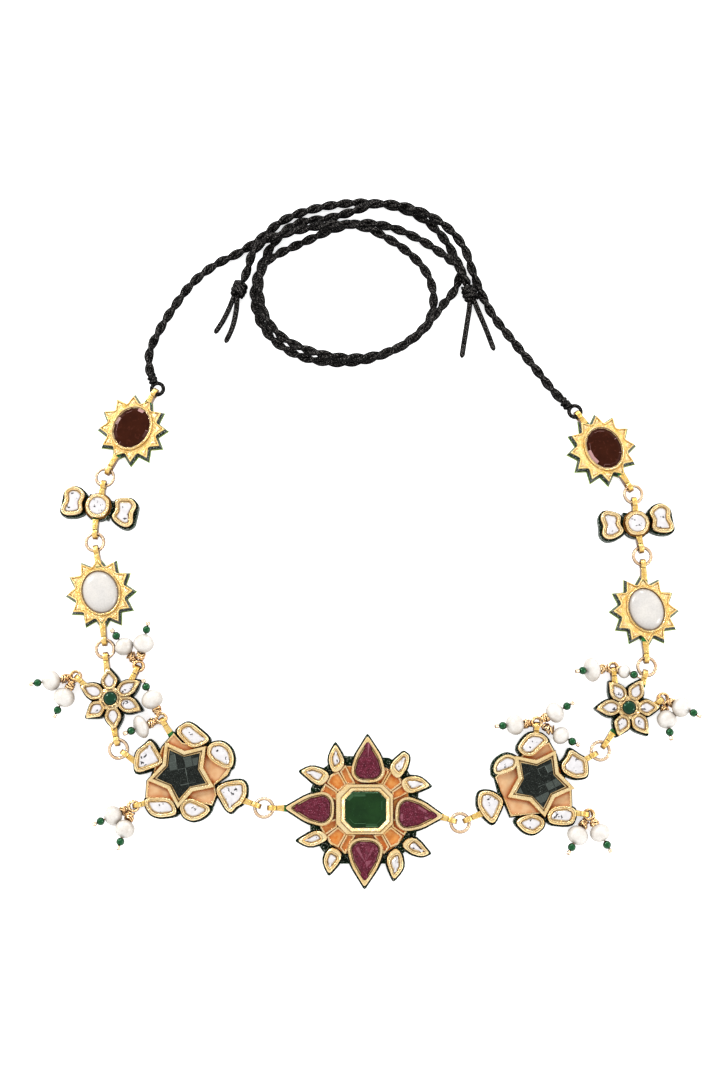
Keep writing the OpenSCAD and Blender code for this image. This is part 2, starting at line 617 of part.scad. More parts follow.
// Bow pieces: two wings and a middle ring on a flat body
wing_d = [for (i = [len(wing_a) - 1:-1:0]) [-wing_a[i].x, wing_a[i].y]];
module bow_setting(mid, wings, ears) {
  color(gold) place() {
    difference() {
      union() {
        place_ears(ears);
        translate(mid) {
          slab(0, plate_h) {
            for (w = wings) polygon(kundan(w, -flare));
            circle(4.3);
            translate([-5, -1.8]) square([10, 3.6]);
          }
          slab(0, bezel_h) {
            for (w = wings) polygon(kundan(w));
            circle(3.7);
          }
        }
      }
      translate(mid) slab(floor_z, 9) {
        for (w = wings) polygon(kundan(w, wall));
        circle(2.55);
      }
    }
  }
}
module bow_kundan(mid, wings) {
  color(white_stone) place(mid) translate([0, 0, floor_z + gap]) {
    for (w = wings) loft(kundan(w, wall + gap), [[0, 0.94], [2.2, 1], [2.7, 0.72]]);
    loft(oval(2.42, 2.42, 12), [[0, 0.94], [2.2, 1], [2.8, 0.66]]);
  }
}
module bow_left_setting() { bow_setting(bow_l, [wing_a, wing_b], ears_bl); }
module bow_left_kundan() { bow_kundan(bow_l, [wing_a, wing_b]); }
module bow_right_setting() { bow_setting(bow_r, [wing_c, wing_d], ears_br); }
module bow_right_kundan() { bow_kundan(bow_r, [wing_c, wing_d]); }

// Loose link rings of each side
module links_left() {
  color(gold) place() for (p = rings_l) ring(p, link_r, link_wire, ear_z);
}
module links_right() {
  color(gold) place() for (p = rings_r) ring(p, link_r, link_wire, ear_z);
}

// Drops, one set of wires, pearls and beads for each casting
module wires(list) {
  color(gold) place() for (h = list) drop_wire(h);
}
module pearls(list) {
  color(pearl_white) place() for (h = list) pearl(h);
}
module beads(list) {
  color("#1A6B35") place() for (h = list) bead(h);
}
module blossom_left_wires() { wires(hang_bl); }
module blossom_left_pearls() { pearls(hang_bl); }
module blossom_left_beads() { beads(hang_bl); }
module blossom_right_wires() { wires(hang_br); }
module blossom_right_pearls() { pearls(hang_br); }
module blossom_right_beads() { beads(hang_br); }
module star_left_wires() { wires(hang_sl); }
module star_left_pearls() { pearls(hang_sl); }
module star_left_beads() { beads(hang_sl); }
module star_right_wires() { wires(hang_sr); }
module star_right_pearls() { pearls(hang_sr); }
module star_right_beads() { beads(hang_sr); }

// Twisted cords, each doubled back through the eye of its casting, and their knots
module cord_left() {
  color(black_cord) place() {
    ring(cord_loop_l, cord_r, loop_ply, ear_z);
    tube(route_l, cord_d / 2);
  }
}
module cord_right() {
  color(black_cord) place() {
    ring(cord_loop_r, cord_r, loop_ply, ear_z);
    tube(route_r, cord_d / 2);
  }
}
module knot_left() {
  color(black_cord) place() knot(route_r, tails_l);
}
module knot_right() {
  color(black_cord) place() knot(route_l, tails_r);
}

centre_setting();
centre_enamel();
emerald();
ruby_top();
ruby_bottom();
ruby_left();
ruby_right();
centre_kundan();
star_left_setting();
star_left_enamel();
star_left_stone();
star_left_kundan();
star_right_setting();
star_right_enamel();
star_right_stone();
star_right_kundan();
blossom_left_setting();
blossom_left_stone();
blossom_left_kundan();
blossom_right_setting();
blossom_right_stone();
blossom_right_kundan();
garnet_left_setting();
garnet_left();
garnet_right_setting();
garnet_right();
pearl_left_setting();
pearl_left();
pearl_right_setting();
pearl_right();
bow_left_setting();
bow_left_kundan();
bow_right_setting();
bow_right_kundan();
links_left();
links_right();
blossom_left_wires();
blossom_left_pearls();
blossom_left_beads();
blossom_right_wires();
blossom_right_pearls();
blossom_right_beads();
star_left_wires();
star_left_pearls();
star_left_beads();
star_right_wires();
star_right_pearls();
star_right_beads();
cord_left();
cord_right();
knot_left();
knot_right();
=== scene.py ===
import math

import bmesh
import bpy
from mathutils import Matrix, Vector, noise
from mathutils.geometry import interpolate_bezier


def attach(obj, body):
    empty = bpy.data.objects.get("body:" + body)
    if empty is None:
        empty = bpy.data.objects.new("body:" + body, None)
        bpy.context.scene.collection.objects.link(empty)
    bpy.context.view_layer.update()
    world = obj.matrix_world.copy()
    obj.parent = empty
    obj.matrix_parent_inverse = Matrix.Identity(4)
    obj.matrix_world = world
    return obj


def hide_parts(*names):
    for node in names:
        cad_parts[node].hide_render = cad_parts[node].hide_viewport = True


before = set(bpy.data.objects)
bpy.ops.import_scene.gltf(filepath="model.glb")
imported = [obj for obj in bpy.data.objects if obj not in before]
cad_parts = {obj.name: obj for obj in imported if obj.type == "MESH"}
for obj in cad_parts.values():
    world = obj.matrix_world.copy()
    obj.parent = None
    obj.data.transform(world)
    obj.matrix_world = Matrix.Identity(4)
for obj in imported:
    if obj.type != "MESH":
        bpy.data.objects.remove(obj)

mm = 0.001
full = 2 * math.pi
up = Vector((0, 0, 1))
# bottom middle of the band, in mm, in the layout that the routes, ears and drops below are measured in
layoutOrigin = Vector((0.9, -27.5, 0))
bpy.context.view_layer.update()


def place(p):
    return (Vector(p) - layoutOrigin) * mm


# Camera at the photograph's angle, floor and soft light

view = {"target": (0, 0, 0), "distance": 440, "elevation": 79, "lens": 48.89, "clip": (0.01, 20)}


def makeCamera():
    a = math.radians(view["elevation"])
    back = Vector((0, -math.cos(a), math.sin(a)))
    data = bpy.data.cameras.new("camera")
    data.lens = view["lens"]
    data.clip_start, data.clip_end = view["clip"]
    camera = bpy.data.objects.new("camera", data)
    camera.location = place(view["target"]) + back * view["distance"] * mm
    camera.rotation_mode = "QUATERNION"
    camera.rotation_quaternion = (-back).to_track_quat("-Z", "Y")
    bpy.context.scene.collection.objects.link(camera)
    bpy.context.scene.camera = camera


studio = {
    "floorSize": 4,
    "floorColour": (0.93, 0.93, 0.93, 1),
    "floorRoughness": 0.8,
    "worldTop": (0.86, 0.86, 0.86, 1),
    "worldSide": (1.5, 1.5, 1.5, 1),
    "worldStrength": 1.0,
    "horizon": (0.35, 0.85),
    "floorGlow": 0.7,
    "lights": [
        # name, place in metres, size, power
        ("keyLight", (-0.55, 0.45, 0.5), 0.14, 3.5),
        ("fillLight", (0.65, -0.2, 0.45), 0.16, 1.5),
        ("rimLight", (0.1, 0.8, 0.4), 0.14, 1.5),
    ],
}


def makeStudio():
    bm = bmesh.new()
    bmesh.ops.create_grid(bm, x_segments=1, y_segments=1, size=studio["floorSize"] / 2)
    mesh = bpy.data.meshes.new("floor")
    bm.to_mesh(mesh)
    bm.free()
    floor = bpy.data.objects.new("floor", mesh)
    bpy.context.scene.collection.objects.link(floor)
    paper = bpy.data.materials.new("paperFloor")
    paper.use_nodes = True
    shader = paper.node_tree.nodes["Principled BSDF"]
    shader.inputs["Base Color"].default_value = studio["floorColour"]
    shader.inputs["Roughness"].default_value = studio["floorRoughness"]
    shader.inputs["Emission Color"].default_value = studio["floorColour"]
    shader.inputs["Emission Strength"].default_value = studio["floorGlow"]
    mesh.materials.append(paper)

    world = bpy.data.worlds.new("softRoom")
    bpy.context.scene.world = world
    world.use_nodes = True
    tree = world.node_tree
    coords = tree.nodes.new("ShaderNodeTexCoord")
    split = tree.nodes.new("ShaderNodeSeparateXYZ")
    ramp = tree.nodes.new("ShaderNodeValToRGB")
    for stop, position, key in zip(ramp.color_ramp.elements, studio["horizon"], ("worldSide", "worldTop")):
        stop.position, stop.color = position, studio[key]
    tree.links.new(coords.outputs["Generated"], split.inputs[0])
    tree.links.new(split.outputs["Z"], ramp.inputs["Fac"])
    tree.links.new(ramp.outputs["Color"], tree.nodes["Background"].inputs["Color"])
    tree.nodes["Background"].inputs["Strength"].default_value = studio["worldStrength"]

    for name, where, size, power in studio["lights"]:
        data = bpy.data.lights.new(name, "AREA")
        data.size, data.energy = size, power
        light = bpy.data.objects.new(name, data)
        light.location = where
        light.rotation_mode = "QUATERNION"
        light.rotation_quaternion = Vector(where).to_track_quat("Z", "Y")
        bpy.context.scene.collection.objects.link(light)
    bpy.context.scene.view_settings.view_transform = "Standard"


makeCamera()
makeStudio()
print("camera, floor and light are set")

# Materials, with two shader groups that several of them share


def add(tree, kind, inputs=(), **settings):
    # one node, with its inputs linked or set
    made = tree.nodes.new(kind)
    for key, value in settings.items():
        setattr(made, key, value)
    for key, value in dict(inputs).items():
        if isinstance(value, bpy.types.NodeSocket):
            tree.links.new(value, made.inputs[key])
        else:
            made.inputs[key].default_value = value
    return made


def calc(tree, operation, a, b=0.0):
    return add(tree, "ShaderNodeMath", {0: a, 1: b}, operation=operation).outputs[0]


def mixColour(tree, factor, a, b):
    # sockets 6, 7 and 2 are the colour ones of a Mix node
    a, b = ((*c, 1) if isinstance(c, tuple) else c for c in (a, b))
    return add(tree, "ShaderNodeMix", {0: factor, 6: a, 7: b}, data_type="RGBA").outputs[2]


def stretch(tree, value, low, high, to0=0.0, to1=1.0):
    inputs = {"Value": value, "From Min": low, "From Max": high, "To Min": to0, "To Max": to1}
    return add(tree, "ShaderNodeMapRange", inputs).outputs[0]


def newGroup(name, inputs, outputs):
    # an empty shader group with number inputs and outputs, and its two end nodes
    tree = bpy.data.node_groups.new(name, "ShaderNodeTree")
    for label, value in inputs.items():
        tree.interface.new_socket(label, in_out="INPUT", socket_type="NodeSocketFloat").default_value = value
    for label in outputs:
        tree.interface.new_socket(label, in_out="OUTPUT", socket_type="NodeSocketFloat")
    return tree, tree.nodes.new("NodeGroupInput").outputs, tree.nodes.new("NodeGroupOutput")


def makeHandTone():
    # broad and fine unevenness of hand-made surfaces, sizes in millimetres
    tree, given, end = newGroup("handTone", {"Broad": 4, "Fine": 0.4}, ("Tone", "Grain"))
    spot = add(tree, "ShaderNodeTexCoord").outputs["Object"]
    scaled = add(tree, "ShaderNodeVectorMath", {0: spot, 1: (1 / mm,) * 3}, operation="MULTIPLY").outputs[0]
    for size, label, detail in (("Broad", "Tone", 3), ("Fine", "Grain", 2)):
        scale = calc(tree, "DIVIDE", 1, given[size])
        noiseNode = add(tree, "ShaderNodeTexNoise", {"Vector": scaled, "Scale": scale, "Detail": detail})
        tree.links.new(stretch(tree, noiseNode.outputs[0], 0.3, 0.7), end.inputs[label])
    return tree


def makeThreadWeave():
    # crossing threads round a ply, from its UV map; Fleck marks spots on their crests for painted light
    tree, given, end = newGroup("threadWeave", {"Threads": 5}, ("Height", "Fleck"))
    uv = add(tree, "ShaderNodeUVMap").outputs[0]
    split = add(tree, "ShaderNodeSeparateXYZ", {0: uv}).outputs
    turns = calc(tree, "MULTIPLY", given["Threads"], full)
    waves = []
    for operation in ("ADD", "SUBTRACT"):
        angle = calc(tree, "MULTIPLY", calc(tree, operation, split[0], split[1]), turns)
        waves.append(calc(tree, "SINE", angle))
    product = calc(tree, "MULTIPLY", *waves)
    height = calc(tree, "ABSOLUTE", product)
    tree.links.new(height, end.inputs["Height"])
    # Fleck: painted light on spots of the threads' crests
    noiseNode = add(tree, "ShaderNodeTexNoise", {"Vector": uv, "Scale": 11, "Detail": 2})
    tops = stretch(tree, height, 0.55, 0.92)
    spots = stretch(tree, noiseNode.outputs[0], 0.48, 0.58)
    tree.links.new(calc(tree, "MULTIPLY", tops, spots), end.inputs["Fleck"])
    return tree


handTone = makeHandTone()
threadWeave = makeThreadWeave()


def newMaterial(name, **settings):
    # a material whose constant values sit on the shader's own sockets
    made = bpy.data.materials.new(name)
    made.use_nodes = True
    shader = made.node_tree.nodes["Principled BSDF"]
    for label, value in settings.items():
        shader.inputs[label.replace("_", " ")].default_value = value
    return made, made.node_tree, shader.inputs


def addGroup(tree, group, **values):
    made = add(tree, "ShaderNodeGroup", node_tree=group)
    for label, value in values.items():
        made.inputs[label].default_value = value
    return made.outputs


def addBump(tree, height, distance):
    return add(tree, "ShaderNodeBump", {"Height": height, "Distance": distance * mm}).outputs[0]


def occlusionShade(tree, reach):
    # 0 in a corner or a slit, 1 on open ground: ambient occlusion, the mask that paints shade into corners
    shade = add(tree, "ShaderNodeAmbientOcclusion", {"Distance": reach * mm}, samples=6)
    return shade.outputs["AO"]


def litTopsShadedSides(tree, low, high):
    # 0 on upright sides, 1 on level tops: the mask that paints shade down the sides and leaves the tops lit
    normal = add(tree, "ShaderNodeTexCoord").outputs["Normal"]
    return stretch(tree, add(tree, "ShaderNodeSeparateXYZ", {0: normal}).outputs["Z"], low, high)


def makeGold(name, bright, warm, paintedShade, reach, rough=0.2, broad=3.0, fine=0.35, dent=0.05, low=0.45,
             worn=0.25, sides=(0.1, 0.75)):
    # cast and burnished metal in pale and warm patches, with painted shade, brown, in its corners and down
    # its upright sides
    made, tree, shader = newMaterial(name, Metallic=1.0)
    tone = addGroup(tree, handTone, Broad=broad, Fine=fine)
    body = mixColour(tree, tone["Tone"], warm, bright)
    body = mixColour(tree, calc(tree, "MULTIPLY", tone["Grain"], worn), body, warm)
    # painted shade: corners, found by occlusion, and upright sides take the shade colour
    bare = calc(tree, "MULTIPLY", stretch(tree, occlusionShade(tree, reach), low, 0.95), litTopsShadedSides(tree, *sides))
    tree.links.new(mixColour(tree, bare, paintedShade, body), shader["Base Color"])
    tree.links.new(stretch(tree, tone["Grain"], 0, 1, rough - 0.06, rough + 0.12), shader["Roughness"])
    tree.links.new(addBump(tree, tone["Grain"], dent), shader["Normal"])
    return made


def makeEnamel(name, middle, other, edge, reach=0.8, broad=2.5, coat=0.2, rough=0.25, low=0.5, shine=0.2,
               fleck=None, fine=0.6):
    # fired glass in two colours, in patches, with painted shade deepening it at the metal's edge, and pale
    # specks painted on as glints where a fleck colour is given
    made, tree, shader = newMaterial(name, Coat_Weight=coat, Coat_Roughness=0.06, Roughness=rough,
                                     Specular_IOR_Level=shine)
    tone = addGroup(tree, handTone, Broad=broad, Fine=fine)
    body = mixColour(tree, tone["Tone"], middle, other)
    # painted glints: pale specks of the fleck colour
    if fleck:
        body = mixColour(tree, stretch(tree, tone["Grain"], 0.74, 0.9), body, fleck)
    # painted shade at the metal's edge, found by occlusion
    bare = stretch(tree, occlusionShade(tree, reach), low, 0.95)
    tree.links.new(mixColour(tree, bare, edge, body), shader["Base Color"])
    tree.links.new(addBump(tree, tone["Tone"], 0.05), shader["Normal"])
    return made


def makeStone(name, body, cloud, fleck, broad, fine, paintedEdgeShade, flecks=(0.72, 1.0), rough=0.08, ior=1.7, metal=0.0,
              shine=0.3, light=(1, 1, 1), facets=0.0, tint=(1, 1, 1), sides=None):
    # cut stone with clouds and small specks, partly marks inside it and partly painted glints; its mesh says
    # how much painted light each facet catches, and painted shade darkens its edges and, where sides are
    # given, its sides
    made, tree, shader = newMaterial(name, Metallic=metal, IOR=ior, Coat_Weight=0.05, Coat_Roughness=0.03,
                                     Specular_IOR_Level=shine, Specular_Tint=(*tint, 1))
    tone = addGroup(tree, handTone, Broad=broad, Fine=fine)
    colour = mixColour(tree, tone["Tone"], body, cloud)
    # specks: partly marks inside the stone, partly painted glints
    colour = mixColour(tree, stretch(tree, tone["Grain"], *flecks), colour, fleck)
    facet = add(tree, "ShaderNodeAttribute", attribute_name="facet").outputs["Fac"]
    colour = mixColour(tree, calc(tree, "MULTIPLY", facet, facets), colour, light)
    # painted shade at the edges, found by occlusion, and down the sides where sides are given
    bare = stretch(tree, occlusionShade(tree, 0.6), 0.5, 0.9)
    if sides:
        bare = calc(tree, "MULTIPLY", bare, litTopsShadedSides(tree, *sides))
    colour = mixColour(tree, bare, paintedEdgeShade, colour)
    tree.links.new(colour, shader["Base Color"])
    tree.links.new(stretch(tree, tone["Grain"], 0, 1, rough, rough + 0.15), shader["Roughness"])
    tree.links.new(addBump(tree, tone["Tone"], 0.03), shader["Normal"])
    return made


def makePearlSkin(name, body, shade, broad, paintedShade, rough=0.22, soft=0.25, sides=(0, 0.75), coat=0.4):
    # nacre: white with faint beige and grey clouds, painted shade greying it down its sides, and a soft shine
    made, tree, shader = newMaterial(name, Subsurface_Weight=soft, Subsurface_Scale=0.5 * mm,
                                     Subsurface_Radius=(1, 0.95, 0.9), Coat_Weight=coat, Coat_Roughness=0.14)
    tone = addGroup(tree, handTone, Broad=broad, Fine=0.5)
    colour = mixColour(tree, stretch(tree, tone["Tone"], 0.2, 1), body, shade)
    # painted shade down the sides
    tree.links.new(mixColour(tree, litTopsShadedSides(tree, *sides), paintedShade, colour), shader["Base Color"])
    tree.links.new(stretch(tree, tone["Grain"], 0, 1, rough, rough + 0.12), shader["Roughness"])
    tree.links.new(addBump(tree, tone["Tone"], 0.02), shader["Normal"])
    return made


def makeThread(name):
    # black silky thread, crossing round each ply, with painted light catching where its threads face up
    made, tree, shader = newMaterial(name, Roughness=0.5, Specular_IOR_Level=0.03)
    weave = addGroup(tree, threadWeave)
    light = calc(tree, "MULTIPLY", weave["Fleck"], litTopsShadedSides(tree, 0.5, 0.97))
    colour = mixColour(tree, light, (0.0008, 0.0007, 0.0006), (0.42, 0.39, 0.37))
    tree.links.new(colour, shader["Base Color"])
    tree.links.new(addBump(tree, weave["Height"], 0.16), shader["Normal"])
    return made


skins = {}
golds = {
    # pale and warm colours, mixed in patches, painted shade in corners and down the sides, how far the corner
    # shade reaches in mm, and other values of makeGold
    "castGold": ((1.0, 0.83, 0.50), (0.94, 0.66, 0.29), (0.22, 0.085, 0.014), 0.6,
                 dict(rough=0.24, sides=(0, 0.6))),
    "foilGold": ((1.0, 0.82, 0.50), (0.90, 0.58, 0.22), (0.26, 0.10, 0.016), 0.4,
                 dict(rough=0.26, broad=1.6, fine=0.3, dent=0.07, sides=(0, 0.6))),
    "sunGold": ((1.0, 0.82, 0.42), (0.84, 0.52, 0.13), (0.34, 0.15, 0.02), 0.3,
                dict(rough=0.28, broad=1.2, fine=0.3, dent=0.14, low=0.4, worn=0.4, sides=(-0.2, 0.5))),
    "earGold": ((1.0, 0.78, 0.34), (0.82, 0.48, 0.10), (0.12, 0.045, 0.006), 0.5,
                dict(rough=0.24, broad=1.0, fine=0.3, worn=0.4, sides=(0.3, 0.9))),
    "wallGold": ((1.0, 0.84, 0.54), (1.0, 0.66, 0.26), (0.62, 0.26, 0.05), 0.3,
                 dict(rough=0.22, low=0.25, sides=(-0.3, 0.4))),
    "linkGold": ((0.98, 0.76, 0.54), (0.82, 0.54, 0.32), (0.05, 0.018, 0.006), 0.5, dict(sides=(0.6, 0.97))),
    "wireGold": ((1.0, 0.78, 0.46), (0.92, 0.54, 0.22), (0.20, 0.06, 0.01), 0.3,
                 dict(rough=0.22, sides=(0.2, 0.8))),
    "capGold": ((1.0, 0.88, 0.70), (0.98, 0.72, 0.46), (0.10, 0.04, 0.015), 0.4,
                dict(rough=0.16, sides=(0.4, 0.85))),
    "tarnish": ((0.30, 0.14, 0.03), (0.16, 0.06, 0.012), (0.05, 0.02, 0.006), 0.4, dict(rough=0.4)),
    "edgeGold": ((0.80, 0.78, 0.30), (0.22, 0.42, 0.08), (0.02, 0.05, 0.01), 0.5, dict(rough=0.3, broad=1.4)),
}
enamels = {
    # in patches, between them, painted shade at the metal's edge, and other values of makeEnamel
    # greenEnamel's fleck colour paints glints as pale specks on the dark web
    "greenEnamel": ((0.0015, 0.003, 0.002), (0.002, 0.02, 0.005), (0.001, 0.002, 0.001),
                    dict(coat=0.0, shine=0.02, fleck=(0.42, 0.46, 0.40), fine=0.34)),
    "rootEnamel": ((0.004, 0.03, 0.005), (0.02, 0.20, 0.03), (0.001, 0.008, 0.002),
                   dict(reach=0.6, broad=0.8)),
    "orangeEnamel": ((0.56, 0.155, 0.014), (0.70, 0.32, 0.085), (0.42, 0.06, 0.004),
                     dict(reach=1.0, broad=1.6, low=0.6)),
    "emberEnamel": ((0.66, 0.18, 0.015), (0.85, 0.42, 0.09), (0.30, 0.045, 0.004),
                    dict(reach=0.7, broad=1.2, low=0.4)),
    "peachEnamel": ((0.60, 0.30, 0.13), (0.70, 0.45, 0.24), (0.42, 0.09, 0.008), dict(reach=1.1, low=0.6)),
}
gems = {
    # body, clouds, specks that are partly marks and partly painted glints, size of clouds and of specks in
    # mm, painted shade at the edge, other values of makeStone
    "rubyStone": ((0.050, 0.005, 0.010), (0.120, 0.012, 0.028), (0.42, 0.14, 0.20), 1.1, 0.26,
                  (0.012, 0.001, 0.003), dict(flecks=(0.80, 0.98), shine=0.14, light=(0.50, 0.20, 0.26),
                                              facets=0.34, tint=(1, 0.6, 0.7))),
    "emeraldStone": ((0.0035, 0.014, 0.003), (0.008, 0.031, 0.006), (0.03, 0.10, 0.04), 3.0, 0.5,
                     (0.001, 0.004, 0.001), dict(flecks=(0.95, 1.2), shine=0.15, light=(0.14, 0.30, 0.16),
                                                 facets=0.8, tint=(0.5, 1, 0.6))),
    "garnetStone": ((0.022, 0.0042, 0.0014), (0.031, 0.0062, 0.002), (0.045, 0.010, 0.005), 3.0, 0.8,
                    (0.005, 0.001, 0.001), dict(shine=0.08, light=(0.42, 0.24, 0.23), facets=1.0,
                                                tint=(1, 0.5, 0.4))),
    "smokyStone": ((0.0045, 0.005, 0.0045), (0.010, 0.0115, 0.010), (0.09, 0.105, 0.095), 0.9, 0.22,
                   (0.002, 0.002, 0.002), dict(flecks=(0.78, 1.0), shine=0.03, light=(0.16, 0.19, 0.17),
                                               facets=0.8, tint=(0.8, 1, 0.85))),
    "clearStone": ((0.72, 0.70, 0.71), (0.62, 0.60, 0.61), (0.05, 0.045, 0.05), 1.4, 1.1, (0.16, 0.10, 0.06),
                   dict(flecks=(0.84, 0.90), rough=0.1, ior=1.6, metal=0.15)),
    "greenCabochon": ((0.002, 0.020, 0.008), (0.005, 0.038, 0.016), (0.03, 0.2, 0.09), 1.5, 0.4,
                      (0.0005, 0.003, 0.0015),
                      dict(flecks=(0.9, 1.15), rough=0.05, shine=0.2, tint=(0.5, 1, 0.7), sides=(0.4, 1))),
    "greenGlass": ((0.001, 0.030, 0.007), (0.002, 0.06, 0.014), (0.02, 0.2, 0.06), 1.0, 0.3,
                   (0.0003, 0.001, 0.0004), dict(flecks=(0.95, 1.2), rough=0.12, shine=0.4,
                                                 tint=(0.35, 1, 0.5), sides=(0.3, 1))),
}
nacres = {
    # body, clouds, their size in mm, painted shade down the sides, and other values of makePearlSkin
    "shellPearl": ((0.62, 0.59, 0.55), (0.53, 0.51, 0.49), 5.0, (0.30, 0.26, 0.22), dict(sides=(0.5, 1))),
    "dropPearl": ((0.70, 0.67, 0.63), (0.58, 0.53, 0.47), 3.5, (0.24, 0.20, 0.155), dict(coat=0.15)),
}
for make, looks in ((makeGold, golds), (makeEnamel, enamels), (makeStone, gems), (makePearlSkin, nacres)):
    for name, (*values, others) in looks.items():
        skins[name] = make(name, *values, **others)
skins["blackThread"] = makeThread("blackThread")
print("materials are made")

# Building blocks for meshes


def finishPiece(bm, name, materials, replaces=(), smooth=True):
    mesh = bpy.data.meshes.new(name)
    bm.to_mesh(mesh)
    bm.free()
    for material in materials:
        mesh.materials.append(skins[material])
    if smooth:
        mesh.shade_smooth()
    piece = bpy.data.objects.new(name, mesh)
    bpy.context.scene.collection.objects.link(piece)
    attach(piece, "root")
    if replaces:
        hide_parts(*replaces)
    return piece


def evenly(points, step):
    # the same line, with points at even steps
    total = sum((b - a).length for a, b in zip(points, points[1:]))
    count = max(2, round(total / step))
    spaced, covered, i = [points[0]], 0, 0
    for k in range(1, count):
        goal = total * k / count
        while covered + (points[i + 1] - points[i]).length < goal:
            covered += (points[i + 1] - points[i]).length
            i += 1
        span = points[i + 1] - points[i]
        spaced.append(points[i] + span * ((goal - covered) / span.length))
    return spaced + [points[-1]]


def smoothRoute(points, step):
    # one smooth curve through the points, at even steps
    p = [2 * points[0] - points[1], *points, 2 * points[-1] - points[-2]]
    curve = [points[0]]
    for i in range(1, len(p) - 2):
        handles = p[i] + (p[i + 1] - p[i - 1]) / 6, p[i + 1] - (p[i + 2] - p[i]) / 6
        curve += interpolate_bezier(p[i], *handles, p[i + 1], 13)[1:]
    return evenly(curve, step)


def axes(direction):
    # a line's direction, its side and its upper side, where it doesn't stand upright
    along = direction.normalized()
    side = along.cross(up).normalized()
    return along, side, side.cross(along)


def around(side, upper, angle):
    return side * math.cos(angle) + upper * math.sin(angle)


def lineFrames(points):
    # side and upper direction at each point of a line
    last = len(points) - 1
    return [axes(points[min(i + 1, last)] - points[max(i - 1, 0)])[1:] for i in range(last + 1)]


def strand(points, offset, pitch, phase):
    # a line that winds round another one
    step = (points[1] - points[0]).length
    return [p + around(side, upper, phase + full * i * step / pitch) * offset
            for i, (p, (side, upper)) in enumerate(zip(points, lineFrames(points)))]


def addRound(bm, middle, side, upper, radius, sides):
    return [bm.verts.new(middle + around(side, upper, full * k / sides) * radius) for k in range(sides)]


def skin(bm, rounds, step, radius):
    # tube through rounds of corners, with its length and turn in the UV map
    uv = bm.loops.layers.uv.verify()
    sides = len(rounds[0])
    for i, (near, far) in enumerate(zip(rounds, rounds[1:])):
        for k in range(sides):
            j = (k + 1) % sides
            face = bm.faces.new((near[k], near[j], far[j], far[k]))
            for loop, (u, v) in zip(face.loops, ((i, k), (i, k + 1), (i + 1, k + 1), (i + 1, k))):
                loop[uv].uv = (u * step / (full * radius), v / sides)
    if rounds[-1] is not rounds[0]:
        bm.faces.new(rounds[0][::-1])
        bm.faces.new(rounds[-1])


def sweep(bm, points, radius, sides, closed=False, taper=0):
    # tube along a fairly level line; its open ends are rounded off over a few steps
    last = len(points) - 1
    rounds = []
    for i, (p, (side, upper)) in enumerate(zip(points, lineFrames(points))):
        edge = min(i, last - i)
        r = radius * (1 if closed or edge >= taper else 0.35 + 0.65 * math.sin(full / 4 * edge / taper))
        rounds.append(rounds[0] if closed and i == last else addRound(bm, p, side, upper, r, sides))
    skin(bm, rounds, (points[1] - points[0]).length, radius)


def wrapTurns(bm, line, radius, sides):
    # tube along a tight coil, each round square to the line
    normal = None
    rounds = []
    last = len(line) - 1
    for i, p in enumerate(line):
        along = (line[min(i + 1, last)] - line[max(i - 1, 0)]).normalized()
        if normal is None:
            normal = along.orthogonal()
        normal = (normal - along * normal.dot(along)).normalized()
        edge = min(i, last - i)
        r = radius * (1 if edge > 2 else 0.4 + 0.2 * edge)
        rounds.append(addRound(bm, p, normal, along.cross(normal), r, sides))
    skin(bm, rounds, (line[1] - line[0]).length, radius)


# Tie cords: two plies twisted, doubled through the eye of the sun, and knotted

cord = {
    "diameter": 2.9, "ply": 1.62, "pitch": 9.7, "step": 0.5, "sides": 12, "taper": 2, "tailPly": 1.02,
    "loop": 1.8, "loopPly": 1.2, "loopHeight": 1.95, "loopSteps": 40,
    "bindFrom": 0.2, "bindLong": 3.2, "bindTurns": 2.4, "bindRadius": 1.05, "bindPly": 0.4, "bindSteps": 48,
    "knotLength": 4.9, "knotTurns": 3.2, "knotRadius": 1.65, "knotSwell": (0.8, 0.25), "knotSteps": 72,
    "overPly": 0.9, "overRadius": 1.12, "overSteps": 16,
}
leftCord = {
    "eye": (-61.7, 46.5),
    "route": [
        (-62.7, 48.2, 1.6), (-64.3, 52.4, 1.5), (-64.5, 58.5, 1.5), (-61.6, 65.6, 1.5),
        (-57.3, 73.1, 1.5), (-51.8, 80.8, 1.5), (-45, 86.6, 1.5), (-37.5, 90.7, 1.5),
        (-30.9, 95.4, 1.5), (-24.4, 101.1, 1.5), (-16, 104.7, 1.5), (-6, 106.8, 1.5),
        (4, 107.1, 1.5), (12.5, 105.3, 1.5), (19.6, 101.8, 1.5), (24.9, 96.9, 1.5),
        (28.8, 90.6, 1.5), (31, 84.6, 1.5), (29.3, 78.6, 1.6), (26.6, 74.8, 2.2),
        (23.5, 70.2, 4.2), (18.9, 64.2, 4.3), (12.2, 59.1, 4.3), (3.4, 56.1, 4.5),
        (-6, 55.8, 4.5), (-15, 57.8, 4.3), (-22.8, 61.6, 4.2), (-28, 67.2, 4.1),
        (-30.6, 74.6, 4.1), (-30.8, 81.4, 4.4), (-28.8, 86.6, 4.3), (-23.8, 90.7, 2.4),
        (-16.5, 94.6, 1.5), (-8, 98.5, 1.5), (1, 100.4, 1.5), (10, 98.9, 1.5),
        (18.6, 95, 1.5), (25.4, 90, 2.2), (30, 85, 4.7), (31.7, 82.7, 4.4), (32.7, 80.6, 3.4),
        (33.1, 79.3, 3.1),
    ],
    "tails": [
        [(34, 75.6, 2.2), (33.5, 71, 1.3), (32.2, 63, 0.9), (31.2, 56.8, 0.9)],
        [(34.7, 75.8, 2.2), (36.6, 71.4, 1.3), (39, 65.4, 0.9), (41.2, 59.1, 0.9)],
    ],
    "nodes": ("cord_left", "knot_right"),
}
